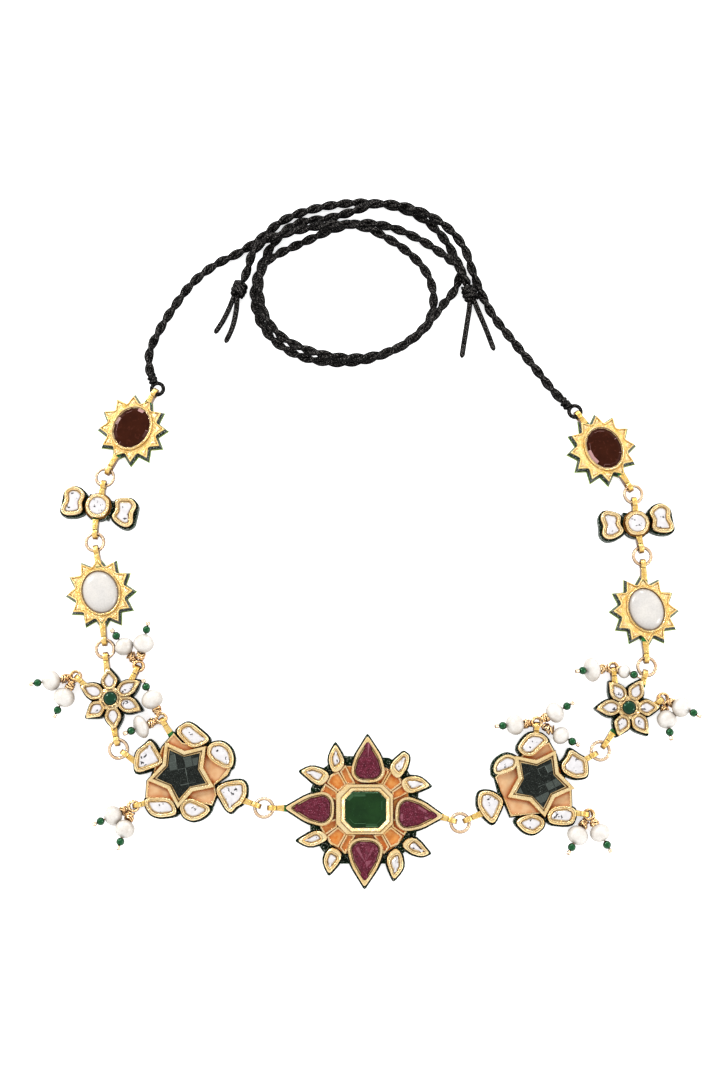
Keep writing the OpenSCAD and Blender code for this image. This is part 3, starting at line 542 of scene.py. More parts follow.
rightCord = {
    "eye": (65.3, 39.4),
    "route": [
        (63.7, 40.6, 1.7), (58.6, 46.4, 1.5), (52.6, 54.5, 1.5), (46.2, 62.9, 1.5),
        (40.7, 70.6, 1.5), (37, 78.5, 1.5), (34.6, 85, 2.1), (32.4, 91.2, 3.2),
        (28.1, 96.8, 4.2), (21.6, 101.6, 4.5), (13.4, 104.8, 4.5), (5, 105.5, 4.5),
        (-2.5, 103.6, 2.8), (-10, 102, 1.5), (-17.6, 100.9, 1.5), (-22.6, 98.5, 1.5),
        (-27, 93.6, 1.5), (-30, 88, 1.5), (-32.2, 81.4, 1.5), (-32.7, 75.4, 1.5),
        (-30.8, 68.2, 1.5), (-25.9, 61.6, 1.5), (-18.4, 57.1, 1.5), (-9.6, 55.1, 1.5),
        (0, 55.5, 1.5), (8.8, 58.3, 1.5), (15.9, 62.7, 1.5), (20.6, 67.6, 1.5),
        (22.6, 73.5, 1.5), (22, 80.6, 1.5), (18.9, 86.6, 1.5), (13.6, 91.9, 1.5),
        (8, 95.6, 1.9), (3, 97.6, 3.4), (-3.5, 98.7, 4.6), (-12, 98.3, 4.6),
        (-20.5, 96.4, 4.6), (-28.4, 94, 4.4), (-33, 90, 3.6), (-34.8, 84.6, 2.7),
        (-36.4, 80.4, 2.7),
    ],
    "tails": [
        [(-38.6, 76.6, 2.4), (-40.4, 72.4, 1.4), (-42.4, 68.4, 0.9), (-44.7, 64.6, 0.9)],
        [(-37.8, 76.3, 2.4), (-38.2, 71.6, 1.4), (-39.3, 66.6, 0.9), (-41.4, 61.6, 0.9)],
    ],
    "nodes": ("cord_right", "knot_left"),
}


def makeKnot(settings):
    # coil of one ply round the cord's end, crossed once over its top, and its two tails
    end = place(settings["route"][-1])
    along, side, upper = axes(end - place(settings["route"][-2]))
    ply, r, long = cord["ply"] * mm / 2, cord["knotRadius"] * mm, cord["knotLength"] * mm
    thin, swollen = cord["knotSwell"]
    bm = bmesh.new()
    coil = []
    for i in range(cord["knotSteps"] + 1):
        t = i / cord["knotSteps"]
        swell = r * (thin + swollen * math.sin(math.pi * t))
        coil.append(end + along * (ply * 0.6 + (long - ply * 1.2) * t)
                    + around(side, upper, full * cord["knotTurns"] * t) * swell)
    wrapTurns(bm, coil, ply, cord["sides"])
    shares = [k / cord["overSteps"] for k in range(cord["overSteps"] + 1)]
    over = [end + along * (long * t) + around(side, upper, math.pi * t) * r * cord["overRadius"]
            for t in shares]
    wrapTurns(bm, over, ply * cord["overPly"], cord["sides"])
    for tail in settings["tails"]:
        line = smoothRoute([end + along * long / 2, *(place(p) for p in tail)], cord["step"] * mm)
        sweep(bm, line, ply * cord["tailPly"], cord["sides"], taper=cord["taper"])
    bmesh.ops.recalc_face_normals(bm, faces=bm.faces)
    return bm


def makeEye(settings, route):
    # the cord's doubled end: a loop through the sun's ear, bound beside it
    bm = bmesh.new()
    eye = place((*settings["eye"], cord["loopHeight"]))
    reach = Vector((cord["loop"] * mm, 0, 0))
    count = cord["loopSteps"]
    ring = [eye + Matrix.Rotation(full * k / count, 3, "Z") @ reach for k in range(count + 1)]
    sweep(bm, ring, cord["loopPly"] * mm / 2, cord["sides"], closed=True)
    along, side, upper = axes(route[6] - route[0])
    binding = []
    count = cord["bindSteps"]
    for i in range(count + 1):
        out = around(side, upper, full * cord["bindTurns"] * i / count) * cord["bindRadius"] * mm
        binding.append(route[0] + along * (cord["bindFrom"] + cord["bindLong"] * i / count) * mm + out)
    wrapTurns(bm, binding, cord["loopPly"] * mm * cord["bindPly"], cord["sides"])
    bmesh.ops.recalc_face_normals(bm, faces=bm.faces)
    return bm


def makeCord(settings, name, material):
    route = smoothRoute([place(p) for p in settings["route"]], cord["step"] * mm)
    ply = cord["ply"] * mm / 2
    bm = bmesh.new()
    for phase in (0, math.pi):
        line = strand(route, cord["diameter"] * mm / 2 - ply, cord["pitch"] * mm, phase)
        sweep(bm, line, ply, cord["sides"], taper=cord["taper"])
    bmesh.ops.recalc_face_normals(bm, faces=bm.faces)
    piece = finishPiece(bm, name, [material], (settings["nodes"][0],))
    loop = finishPiece(makeEye(settings, route), name + "Loop", [material])
    knot = finishPiece(makeKnot(settings), name + "Knot", [material], (settings["nodes"][1],))


makeCord(leftCord, "leftCord", "blackThread")
makeCord(rightCord, "rightCord", "blackThread")

# Castings: every bezel grows from the outline of its own stone in the frame

shaping = {
    # what counts as one point when a CAD mesh is cut, before and after the cut
    "weld": 0.002, "join": 0.03,
    # levels of the cuts through a setting's foot and rims, and the corners left out there, in degrees
    "foot": 0.1, "footAngle": 5, "rims": 3.9, "rimAngle": 4, "bezelAngle": 14,
    # how near a rim's middle lies to that of its stone
    "same": 1.4,
    # leaf tips drawn out, small petals drawn inwards, and bow wings drawn in, over what length
    "leafTip": 0.75, "tipReach": 1.1, "petalRoot": 0.8,
    "wingStone": 0.65, "wingBezel": 0.5, "waistReach": 1.6, "waistStep": 0.5,
    # hand-worn edges: size of the unevenness, least band that gets it, rise from one bezel to the next
    "dents": 0.9, "leastBand": 0.08, "bezelStep": 0.003,
}


def crossSection(node, height):
    # one flat face for each closed outline that a level plane cuts from a CAD node
    bm = bmesh.new()
    bm.from_mesh(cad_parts[node].data)
    bmesh.ops.remove_doubles(bm, verts=bm.verts, dist=shaping["weld"] * mm)
    everything = bm.verts[:] + bm.edges[:] + bm.faces[:]
    bmesh.ops.bisect_plane(bm, geom=everything, plane_co=(0, 0, height * mm), plane_no=up, clear_inner=True,
                           clear_outer=True)
    bmesh.ops.delete(bm, geom=bm.faces[:], context="FACES_ONLY")
    bmesh.ops.remove_doubles(bm, verts=bm.verts, dist=shaping["join"] * mm)
    bmesh.ops.edgeloop_fill(bm, edges=bm.edges[:])
    for f in bm.faces:
        f.normal_update()
        if f.normal.z < 0:
            f.normal_flip()
    outlines = [[v.co.copy() for v in f.verts] for f in bm.faces]
    bm.free()
    return outlines


suns = {
    # casting: its middle, the rows that carry a round of teeth on to its own leaning one, and its stone's
    # middle, half length, half width and lean
    "garnet_left": ((-69, 33.8), ((9.8, 0.28), (-0.2, 10.3)), ((-69, 33.95), 6.5, 5.25, 63)),
    "garnet_right": ((73.2, 27.6), ((9.6, -1.64), (1.29, 10.2)), ((73.6, 27.6), 6.45, 5.1, -65)),
    "pearl_left": ((-77, -16.4), ((9.55, -1.1), (0.66, 10.2)), ((-76.8, -16.35), 6.35, 5.2, -71)),
    "pearl_right": ((84.3, -21.7), ((9.4, -0.5), (0.14, 10)), ((84.5, -21.5), 6.3, 5, -71)),
}
tooth = {
    # teeth of a round, with their valleys as a share of its reach and rounded over these degrees
    "count": 12, "valley": 0.77, "round": 3.5, "shallow": 0.02, "flare": 0.7,
    # the raised mark on each: its place as a share of the reach, radius, bevel, level and rise
    "mark": 0.81, "size": 1.2, "bevel": 0.5, "level": 2.96, "rise": 0.16,
}
ovalCorners = 32
weld = 0.0005  # points of a finished piece that are nearer than this are one


def onSun(name, share, bearing):
    # a place on a sun's leaning round, as a share of the way out to its teeth
    heart, rows = suns[name][:2]
    x, y = share * math.cos(bearing), share * math.sin(bearing)
    return place((heart[0] + rows[0][0] * x + rows[0][1] * y, heart[1] + rows[1][0] * x + rows[1][1] * y, 0))


def toothBearing(i, turn=0.0):
    return math.radians(90 + 360 / tooth["count"] * i + turn)


def toothed(name):
    # sharp teeth with rounded valleys between them
    half, rounded = 180 / tooth["count"], tooth["round"]
    low, beside = tooth["valley"], tooth["valley"] + tooth["shallow"]
    corners = ((0, 1), (half - rounded, beside), (half, low), (half + rounded, beside))
    return [onSun(name, share, toothBearing(i, turn))
            for i in range(tooth["count"]) for turn, share in corners]


def ovalOutline(name):
    heart, long, short, lean = suns[name][2]
    turned = Matrix.Rotation(math.radians(lean), 3, "Z")
    bearings = [full * i / ovalCorners for i in range(ovalCorners)]
    return [place((*heart, 0)) + turned @ Vector((long * math.cos(a), short * math.sin(a), 0)) * mm
            for a in bearings]


def thin(outline, gap):
    # leaves out corners that lie closer together than the gap
    kept = [outline[0]]
    for p in outline[1:]:
        if (p - kept[-1]).length > gap * mm:
            kept.append(p)
    return kept


def grow(outline, d):
    # the outline moved outwards by d, corners mitred
    grown = []
    for i, p in enumerate(outline):
        a = (p - outline[i - 1]).normalized()
        b = (outline[(i + 1) % len(outline)] - p).normalized()
        m = a.cross(up) + b.cross(up)
        grown.append(p + m * (2 * d / max(m.dot(m), 0.9)))
    for _ in range(3):
        for i, p in enumerate(outline):
            if (grown[i] - grown[i - 1]).dot(p - outline[i - 1]) < 0:
                grown[i] = grown[i - 1] = (grown[i] + grown[i - 1]) / 2
    return grown


def startFace(bm, outline, height, material=0):
    face = bm.faces.new([bm.verts.new((p.x, p.y, height * mm)) for p in outline])
    face.material_index = material
    return face


def stepFace(bm, face, inward, rise, material):
    # one band of a profile: inwards and upwards from the rim of the face
    band = bmesh.ops.inset_individual(bm, faces=[face], thickness=0, depth=0)["faces"]
    for v, p in zip(face.verts, grow([v.co for v in face.verts], -inward * mm)):
        v.co = p + up * rise * mm
    for side in band:
        side.material_index = material


def wobble(face, amount, seed):
    # pushes a face's corners about, as a hand tool leaves them
    for v in face.verts:
        q = v.co / mm * shaping["dents"] + Vector((seed * 7.3, seed * 3.1, 0))
        v.co += Vector((noise.noise(q), noise.noise(q + Vector((31, 17, 5))), 0)) * amount * mm


# the dark material: dark brown in the grooves and the slits round the stones, and on the ground under a bow's
# ring
metals = ["greenEnamel", "castGold", "foilGold", "tarnish", "sunGold", "edgeGold", "emberEnamel", "earGold",
          "rootEnamel", "wallGold"]
enamel, gold, foil, dark, engraved, edge, ember, yellow, green, wall = range(10)

# Each profile: level of the stone's outline, wall, flare of the foot, bands up the outside, the lip as
# inwards and level, bands inside it, and how uneven foil and dark bands are. A band is inwards, up, material
skirt = [(0.1, 0.25, edge), (0.04, 1.05, enamel), (0.16, 1.3, enamel), (0, 0.1, enamel)]


def rim(straight, lean=0.02, bevel=(0.14, 0.2), metal=gold):
    return [(lean, straight, metal), (*bevel, metal)]


profiles = {
    "smallStone": {
        "section": 3.6, "wall": 0.85, "flare": 0.3, "outer": skirt + rim(1.3), "top": (0.3, 4.28),
        "inner": [(0.16, 0, gold), (0.05, -0.12, dark), (0.05, 0.09, dark), (0.2, -0.05, foil),
                  (0.24, -0.36, foil), (0.12, -0.18, dark)],
        "wobble": (0.1, 0.16),
    },
    "leafStone": {
        "section": 3.6, "wall": 0.95, "flare": 0.1, "outer": skirt[:1] + [(0.06, 2.4, enamel)] + rim(1.3),
        "top": (0.28, 4.28),
        "inner": [(0.14, 0, gold), (0.05, -0.1, dark), (0.05, 0.08, dark), (0.14, -0.06, foil),
                  (0.14, -0.34, foil), (0.1, -0.18, dark)],
        "wobble": (0.08, 0.12),
    },
    "pearStone": {
        "section": 3.9, "wall": 1.0, "flare": 0.3, "outer": skirt + rim(1.62, bevel=(0.16, 0.24)),
        "top": (0.5, 4.62), "inner": [(0.2, -0.04, gold), (0.14, -0.22, foil), (0.14, -0.4, dark)],
        "wobble": (0.03, 0.05),
    },
    "frameStone": {
        "section": 4.0, "wall": 2.1, "flare": 0, "outer": [(0, 2.9, gold)] + rim(1.55, 0.06, (0.16, 0.28)),
        "top": (1.24, 4.8),
        "inner": [(0.12, -0.16, dark), (0.14, 0.02, foil), (0.86, -0.5, foil), (0.12, -0.4, dark)],
        "wobble": (0.03, 0.03),
    },
    "starStone": {
        "section": 3.6, "wall": 1.85, "flare": 0, "outer": [(0, 2.6, gold)] + rim(1.5, 0.06, (0.16, 0.24)),
        "top": (0.9, 4.4), "inner": [(0.14, -0.04, gold), (0.14, -0.3, foil), (0.2, -0.4, dark)],
        "wobble": (0.04, 0.06),
    },
    "roundStone": {
        "section": 4.0, "wall": 0.75, "flare": 0, "outer": [(0, 2.6, gold)] + rim(1.5, 0.04, (0.12, 0.16)),
        "top": (0.3, 4.3), "inner": [(0.2, -0.16, foil), (0.1, -0.3, dark)], "wobble": (0.03, 0.05),
    },
    "bowRing": {
        "section": 3.6, "wall": 1.25, "flare": 0.3, "outer": skirt + rim(1.3, bevel=(0.16, 0.2)),
        "top": (0.46, 4.28), "inner": [(0.16, -0.06, gold), (0.22, -0.24, foil), (0.12, -0.2, dark)],
        "wobble": (0.06, 0.08),
    },
    "cell": {
        "section": 2.5, "wall": 0.6, "flare": 0, "outer": [(0, 2.95, wall), (0.08, 0.1, wall)],
        "top": (0.44, 3.08), "inner": [(0.06, -0.14, wall), (0.02, -0.5, wall)], "wobble": (0.03, 0.03),
    },
    "ovalStone": {
        "section": 3.6, "wall": 0.75, "flare": 0,
        "outer": [(0, 2.6, engraved)] + rim(1.0, 0.05, (0.14, 0.14), engraved),
        "top": (0.36, 3.76), "inner": [(0.14, -0.1, gold), (0.16, -0.3, dark)], "wobble": (0.04, 0.05),
    },
}


def growBands(bm, outline, bands, height=0.0, top=dark, unevenness=(0, 0), seed=0):
    # a closed solid: an outline's foot, its bands from the foot upwards, and a last face on top
    foot = startFace(bm, outline, height, bands[0][2])
    foot.normal_flip()
    face = startFace(bm, outline, height, top)
    for inward, rise, material in bands:
        stepFace(bm, face, inward, rise, material)
        if material in (foil, dark):
            wobble(face, unevenness[material == dark], seed)
    return face


def growBezel(bm, outer, outline, kind, seed):
    # a bezel round one stone: its own outer outline below, the gold pressed over the stone's edge above
    p = profiles[kind]
    rims = growBands(bm, grow(outer, p["flare"] * mm), p["outer"])
    loops = list(rims.edges)
    bmesh.ops.delete(bm, geom=[rims], context="FACES_ONLY")
    inwards, height = p["top"]
    mouth = startFace(bm, grow(outline, (p["wall"] - inwards) * mm), height + seed * shaping["bezelStep"],
                      gold)
    loops += mouth.edges
    for inward, rise, material in p["inner"]:
        stepFace(bm, mouth, inward, rise, material)
        if material in (foil, dark) and inward > shaping["leastBand"]:
            wobble(mouth, p["wobble"][material == dark], seed)
    for face in bmesh.ops.bridge_loops(bm, edges=loops)["faces"]:
        face.material_index = p["outer"][-1][2]


def middle(outline):
    return sum(outline, Vector()) / len(outline)


def outerOutline(outline, rims, width):
    # the casting's own rim round a stone, or else the stone's outline grown by the wall
    near = [o for o in rims if (middle(o) - middle(outline)).xy.length < shaping["same"] * mm]
    return max(near, key=spread) if near else grow(coarsen(outline, shaping["bezelAngle"]), width * mm)


def levelled(v):
    # the direction of a vector, without its height
    return Vector((v.x, v.y, 0)).normalized()


def pointed(outline, away, by):
    # draws the far end of an outline out to a point
    far = max(outline, key=lambda p: (p - away).xy.length)
    reach = shaping["tipReach"] * mm
    return [p + levelled(far - away) * by * mm * max(0, 1 - (p - far).length / reach) for p in outline]


def lengthened(outline, towards, by):
    # draws the near end of an outline towards a place
    heart = middle(outline)
    along = levelled(towards - heart)
    reach = max((p - heart).dot(along) for p in outline)
    return [p + along * by * mm * max(0, (p - heart).dot(along) / reach) ** 2 for p in outline]


def waist(outline, away, by):
    # draws both long sides of a bow's wing in at their middle
    heart = middle(outline)
    across = levelled(heart - away)
    pulled = []
    for p in evenly(outline + outline[:1], shaping["waistStep"] * mm)[:-1]:
        aside = (p - heart).dot(across)
        pull = by * mm * math.exp(-((p - heart).dot(across.cross(up)) / (shaping["waistReach"] * mm)) ** 2)
        pulled.append(p - across * math.copysign(min(pull, abs(aside) / 2), aside))
    return pulled


def stoneOutlines(node, height):
    # outlines of a node's stones with the sort of each; a bow's wings are drawn in at their waists
    if node in suns:
        return [(ovalOutline(node), "")]
    outlines = crossSection(node, height)
    if not node.startswith("bow"):
        return [(o, "") for o in outlines]
    heart = sum((middle(o) for o in outlines), Vector()) / len(outlines)
    ring = min(outlines, key=lambda o: (middle(o) - heart).length)
    return [(o, "ring") if o is ring else (waist(o, middle(ring), shaping["wingStone"]), "wing")
            for o in outlines]


def spread(outline):
    return sum((p - middle(outline)).xy.length for p in outline) / len(outline)


def coarsen(outline, angle):
    # the same outline with only its real corners
    bm = bmesh.new()
    startFace(bm, outline, 0)
    bmesh.ops.dissolve_limit(bm, angle_limit=math.radians(angle), verts=bm.verts, edges=bm.edges)
    kept = [v.co.copy() for f in bm.faces for v in f.verts]
    bm.free()
    return kept


ear = {
    "height": 1.95, "radius": 1.75, "hole": 1.1, "width": 1.5, "flare": 1.35, "sunk": 0.6, "root": 0.28,
    "barHigh": 0.92, "bevel": 0.16, "segments": 24,
}
ears = {
    # casting: for each ear its root, the middle of the ring or loop that it holds, and that one's radius
    "centre": [((-21, -79.2), (-27.7, -79.1), 2.6), ((22.6, -81.4), (28.8, -83.3), 2.6)],
    "star_left": [((-64, -66.6), (-70.2, -62.3), 2.6), ((-34.6, -76.6), (-27.7, -79.1), 2.6),
                  ((-54.7, -58.4), (-58, -53.4), 1.5), ((-60.2, -77.4), (-65.4, -78.6), 1.5)],
    "star_right": [((63, -66.6), (69.8, -62.8), 2.6), ((37, -79.8), (28.8, -83.3), 2.6),
                   ((51, -60), (51.5, -54.6), 1.5), ((60.8, -80.4), (66, -81), 1.5)],
    "blossom_left": [((-73.9, -41), (-75, -33.1), 2.6), ((-71.9, -54.6), (-70.2, -62.3), 2.6),
                     ((-78.9, -45.2), (-83.4, -41.1), 1.5), ((-67.4, -43.6), (-65, -38.1), 1.5)],
    "blossom_right": [((82.4, -44.2), (84.2, -38.3), 2.6), ((74, -56.8), (69.8, -62.8), 2.6),
                      ((74.6, -44.3), (74.2, -38.6), 1.5), ((85.2, -50.2), (88.6, -47.6), 1.5)],
    "pearl_left": [((-77.4, -9.4), (-79.1, -1.1), 2.6), ((-76.1, -24), (-75, -33.1), 2.6)],
    "pearl_right": [((84.3, -14.2), (84.1, -5.3), 2.6), ((83.9, -29.6), (84.2, -38.3), 2.6)],
    "garnet_left": [((-64.6, 41.6), (-61.7, 46.5), 1.8), ((-73, 26.4), (-76.8, 18.8), 2.6)],
    "garnet_right": [((68.7, 34.6), (65.3, 39.4), 1.8), ((78.2, 20.6), (82.1, 13.6), 2.6)],
    "bow_left": [((-77.6, 12.4), (-76.8, 18.8), 2.6), ((-79, 6.9), (-79.1, -1.1), 2.6)],
    "bow_right": [((82.5, 7), (82.1, 13.6), 2.6), ((83, 1.8), (84.1, -5.3), 2.6)],
}


def addEar(bm, root, target, ring):
    # upright eye on a short bar, green at its root
    root, target = place((*root, ear["height"])), place((*target, ear["height"]))
    along = (target - root).normalized()
    eye = target - along * ring * mm
    side = along.cross(up)
    width, hole = ear["width"] * mm, ear["hole"] * mm
    turned = Matrix((along, up, side)).transposed().to_4x4()
    turned.translation = eye - side * width / 2
    own = bmesh.new()
    rims = []
    for radius in (ear["radius"], ear["hole"]):
        circle = bmesh.ops.create_circle(own, segments=ear["segments"], radius=radius * mm)["verts"]
        rims += {e for v in circle for e in v.link_edges}
    bmesh.ops.bridge_loops(own, edges=rims)
    made = bmesh.ops.extrude_face_region(own, geom=own.faces[:])["geom"]
    bmesh.ops.translate(own, vec=up * width, verts=[g for g in made if isinstance(g, bmesh.types.BMVert)])
    bmesh.ops.recalc_face_normals(own, faces=own.faces)
    long = (eye - root).length - hole
    block = bmesh.ops.create_cube(own, size=1)["verts"]
    high = 2 * ear["radius"] * mm
    bmesh.ops.scale(own, vec=(long, high * ear["barHigh"], width), verts=block)
    bmesh.ops.scale(own, vec=(1, ear["sunk"], ear["flare"]), verts=[v for v in block if v.co.x < 0])
    bmesh.ops.translate(own, vec=(-hole - long / 2, 0, width / 2), verts=block)
    geom = (block + list({e for v in block for e in v.link_edges})
            + list({f for v in block for f in v.link_faces}))
    greenEnd = -hole - long * (1 - ear["root"])
    bmesh.ops.bisect_plane(own, geom=geom, plane_co=(greenEnd, 0, 0), plane_no=(1, 0, 0))
    bevelSharp(own, ear["bevel"], 2)
    for f in own.faces:
        f.material_index = green if f.calc_center_median().x < greenEnd else yellow
    own.transform(turned)
    joinInto(bm, own)


def bevelSharp(bm, size, segments):
    sharp = [e for e in bm.edges if e.calc_face_angle(0) > 1]
    bmesh.ops.bevel(bm, geom=sharp, offset=size * mm, segments=segments, profile=0.5, affect="EDGES",
                    material=-1)


def joinInto(bm, own):
    mesh = bpy.data.meshes.new("joining")
    own.to_mesh(mesh)
    own.free()
    bm.from_mesh(mesh)
    bpy.data.meshes.remove(mesh)


castings = {
    # casting: its stone nodes, each with the sort of bezel round it
    "centre": [("emerald", "frameStone"), ("ruby_top", "pearStone"), ("ruby_bottom", "pearStone"),
               ("ruby_left", "pearStone"), ("ruby_right", "pearStone"), ("centre_kundan", "smallStone"),
               ("centre_enamel", "cell")],
}
arms = {
    # casting of an arm: the endings of its stones' nodes, each with the sort of bezel
    "star": [("_stone", "starStone"), ("_kundan", "smallStone"), ("_enamel", "cell")],
    "blossom": [("_stone", "roundStone"), ("_kundan", "leafStone")],
    "bow": [("_kundan", "smallStone")],
    "garnet": [("", "ovalStone")],
    "pearl": [("", "ovalStone")],
}
for arm, rows in arms.items():
    for end in ("_left", "_right"):
        castings[arm + end] = [(arm + end + part, bezel) for part, bezel in rows]
# Bands from the plain back up to the ground that the bezels stand on
plate = {
    "body": [(0, 0.3, edge), (0.05, 2.0, enamel), (0.1, 0.12, enamel)],
    "sun": [(0.22, 0.3, edge), (0.12, 1.0, enamel), (0.34, 1.25, enamel), (0.02, 0.6, engraved),
            (0.1, 0.12, engraved), (0.2, 0.02, engraved), (0.1, -0.3, engraved)],
}
# Dark webs, behind a bow's ring and under the middle flower, the gold plate with its ember enamel on that
# one, and level ground round the middle stone of a bow and of a blossom
web = {
    "long": 8.2, "wide": 5.2, "waist": 0.4, "bands": [(0, 2.7, enamel), (0.1, 0.1, enamel)],
    "cells": 2.5, "round": 3.7, "low": [(0.1, 0.25, edge), (0, 1.9, enamel), (0.2, 0.1, enamel)],
    "plate": 0.7, "plateBands": [(0, 2.5, gold), (0.1, 0.08, gold)], "corners": 0.3,
}
hubs = {
    "smallStone": {"reach": 1.62, "bands": [(0, 2.9, dark), (0.1, 0.06, dark)]},
    "roundStone": {"reach": 1.5, "bands": [(0, 3.9, gold), (0.1, 0.06, gold)]},
}


def engraveTeeth(bm, name):
    # a small raised triangle on each tooth
    heart = place((*suns[name][0], 0))
    for i in range(tooth["count"]):
        spot = onSun(name, tooth["mark"], toothBearing(i))
        bearing = math.atan2(spot.y - heart.y, spot.x - heart.x)
        spot.z = (tooth["level"] + tooth["rise"] / 2) * mm
        turned = Matrix.Translation(spot) @ Matrix.Rotation(bearing - math.pi / 2, 4, "Z")
        marks = bmesh.ops.create_cone(bm, cap_ends=True, segments=3, radius1=tooth["size"] * mm,
                                      radius2=(tooth["size"] - tooth["bevel"]) * mm, depth=tooth["rise"] * mm,
                                      matrix=turned)["verts"]
        for f in {f for v in marks for f in v.link_faces}:
            f.material_index = foil


def hull(points):
    bm = bmesh.new()
    for p in points:
        bm.verts.new((p.x, p.y, 0))
    made = bmesh.ops.convex_hull(bm, input=bm.verts)
    bmesh.ops.delete(bm, geom=[g for g in made["geom_interior"] if isinstance(g, bmesh.types.BMVert)],
                     context="VERTS")
    heart = middle([v.co for v in bm.verts])
    outline = sorted((v.co.copy() for v in bm.verts), key=lambda p: math.atan2(p.y - heart.y, p.x - heart.x))
    bm.free()
    return outline


def shapedRim(name, kind, sort, outline, rims, heart):
    # the outer outline of one stone's bezel
    if name in suns:
        return grow(outline, profiles[kind]["wall"] * mm)
    if sort == "ring":
        return outerOutline(outline, [], profiles["bowRing"]["wall"])
    outer = outerOutline(outline, [] if kind in ("cell", "roundStone", "starStone") else rims,
                         profiles[kind]["wall"])
    if kind == "leafStone":
        return pointed(outer, heart, shaping["leafTip"])
    if sort == "wing":
        return waist(outer, heart, shaping["wingBezel"])
    if name == "centre" and kind == "smallStone":
        return lengthened(outer, heart, shaping["petalRoot"])
    return outer


def makeCasting(name, stones):
    bm = bmesh.new()
    sun = name in suns
    setting = name + "_setting"
    body = coarsen(max(crossSection(setting, shaping["foot"]), key=spread), shaping["footAngle"])
    if sun:
        body = grow(toothed(name), tooth["flare"] * mm)
    growBands(bm, body, plate["sun" if sun else "body"], top=engraved if sun else enamel)
    rims = [coarsen(o, shaping["rimAngle"]) for o in crossSection(setting, shaping["rims"])]
    seed = 0
    for node, kind in stones:
        for outline, sort in stoneOutlines(node, profiles[kind]["section"]):
            seed += 1
            outer = shapedRim(name, kind, sort, outline, rims, middle(body))
            if sort == "ring" or kind == "roundStone":
                hub = hubs[kind]
                growBands(bm, grow(outline, hub["reach"] * mm), hub["bands"], top=hub["bands"][0][2])
            growBezel(bm, outer, outline, "bowRing" if sort == "ring" else kind, seed)
    if name.startswith("bow"):
        addBowWeb(bm, body)
    if name == "centre":
        cells = hull([p for o in crossSection("centre_enamel", web["cells"]) for p in o])
        for reach, bands, top in (("plate", "plateBands", ember), ("round", "low", enamel)):
            growBands(bm, thin(grow(cells, web[reach] * mm), web["corners"]), web[bands], top=top)
    if sun:
        engraveTeeth(bm, name)
    for root, target, radius in ears[name]:
        addEar(bm, root, target, radius)
    bmesh.ops.remove_doubles(bm, verts=bm.verts, dist=weld * mm)
    soften(finishPiece(bm, camel(name) + "Casting", metals, (setting,)))


def addBowWeb(bm, body):
    heart = middle(body)
    along = max((p - q for p in body for q in body), key=lambda d: d.length).normalized()
    across = along.cross(up)
    corners = [heart + (along * a * web["long"] + across * b * web["wide"]) * mm / 2
               for a, b in ((-1, -1), (-1, 1), (1, 1), (1, -1))]
    growBands(bm, waist(corners, heart + across, web["waist"]), web["bands"], top=enamel)


def camel(name):
    first, *rest = name.split("_")
    return first + "".join(word.capitalize() for word in rest)


def soften(piece, angle=38):
    # smooth shading that keeps edges sharper than this angle in degrees
    piece.data.set_sharp_from_angle(angle=math.radians(angle))


for name, stones in castings.items():
    makeCasting(name, stones)
print("castings are made")

# Stones and enamel, each cut from the outline of its own CAD solid

cuts = {
    # level of the outline, start inside it, foot, corners left out in degrees, bands of inwards and up, rise
    # of the top's middle, and how bright the facets inside their edges are
    "kundan": {"section": 3.6, "inside": 0.42, "foot": 3.3, "corner": 16, "bands": [(0, 0.42), (0.28, 0.16)],
               "rise": 0.07},
    "leaf": {"section": 3.6, "inside": 0.1, "foot": 3.3, "corner": 16, "bands": [(0, 0.42), (0.28, 0.16)],
             "rise": 0.07},
    "pear": {"section": 3.9, "inside": 0.05, "foot": 3.5, "corner": 14,
             "bands": [(0, 0.45), (0.55, 0.34), (0.65, 0.16)], "rise": 0.03, "glint": 0.2},
    "octagon": {"section": 4.0, "inside": -0.08, "foot": 3.5, "corner": 10,
                "bands": [(0, 0.45), (0.7, 0.45), (0.9, 0.2)], "rise": 0.02, "glint": 0.2},
    "oval": {"section": 3.6, "inside": -0.02, "foot": 2.9, "corner": 17, "bands": [(0, 0.45), (1.0, 0.36)],
             "rise": 0.0, "glint": 0.15},
    "bowRound": {"section": 3.6, "inside": -0.35, "foot": 3.3, "corner": 10, "bands": [(0, 0.4), (0.5, 0.25)],
                 "rise": 0.03},
    "dome": {"section": 3.6, "inside": 0.02, "foot": 2.9, "corner": 4,
             "bands": [(0, 0.5), (0.35, 0.5), (0.55, 0.4), (0.8, 0.3), (1.0, 0.18), (1.1, 0.08)],
             "rise": 0.02},
    "cabochon": {"section": 4.0, "inside": -0.25, "foot": 3.4, "corner": 4,
                 "bands": [(0, 0.6), (0.3, 0.4), (0.45, 0.28), (0.5, 0.14)], "rise": 0.04},
    "cell": {"section": 2.5, "inside": -0.08, "foot": 2.2, "corner": 6,
             "bands": [(0, 0.66), (0.14, -0.07), (0.3, -0.07)], "rise": -0.02},
}
facets = {
    # longer facets than this are halved; the crown's lie between these slopes, table and girdle apart
    "longest": 2.2, "level": 0.01, "slopes": (0.3, 0.985), "edge": 0.07, "bright": 0.4,
    # bearings of the facets that catch the light in the photograph, seen from the middle of the stone
    "lit": {"garnet_left": (70,), "garnet_right": (207, 227)}, "litReach": 5,
}


def toneFacets(bm, share, level=2):
    # a value of its own for each facet: most are dark, a few catch the light
    layer = bm.faces.layers.float.get("facet") or bm.faces.layers.float.new("facet")
    for f in bm.faces:
        q = f.calc_center_median() / mm
        value = noise.cell(q * 2.3 + Vector((3, 7, 1)))
        f[layer] = max(0, (value - 1 + share) / share) if f.normal.z < level else 0


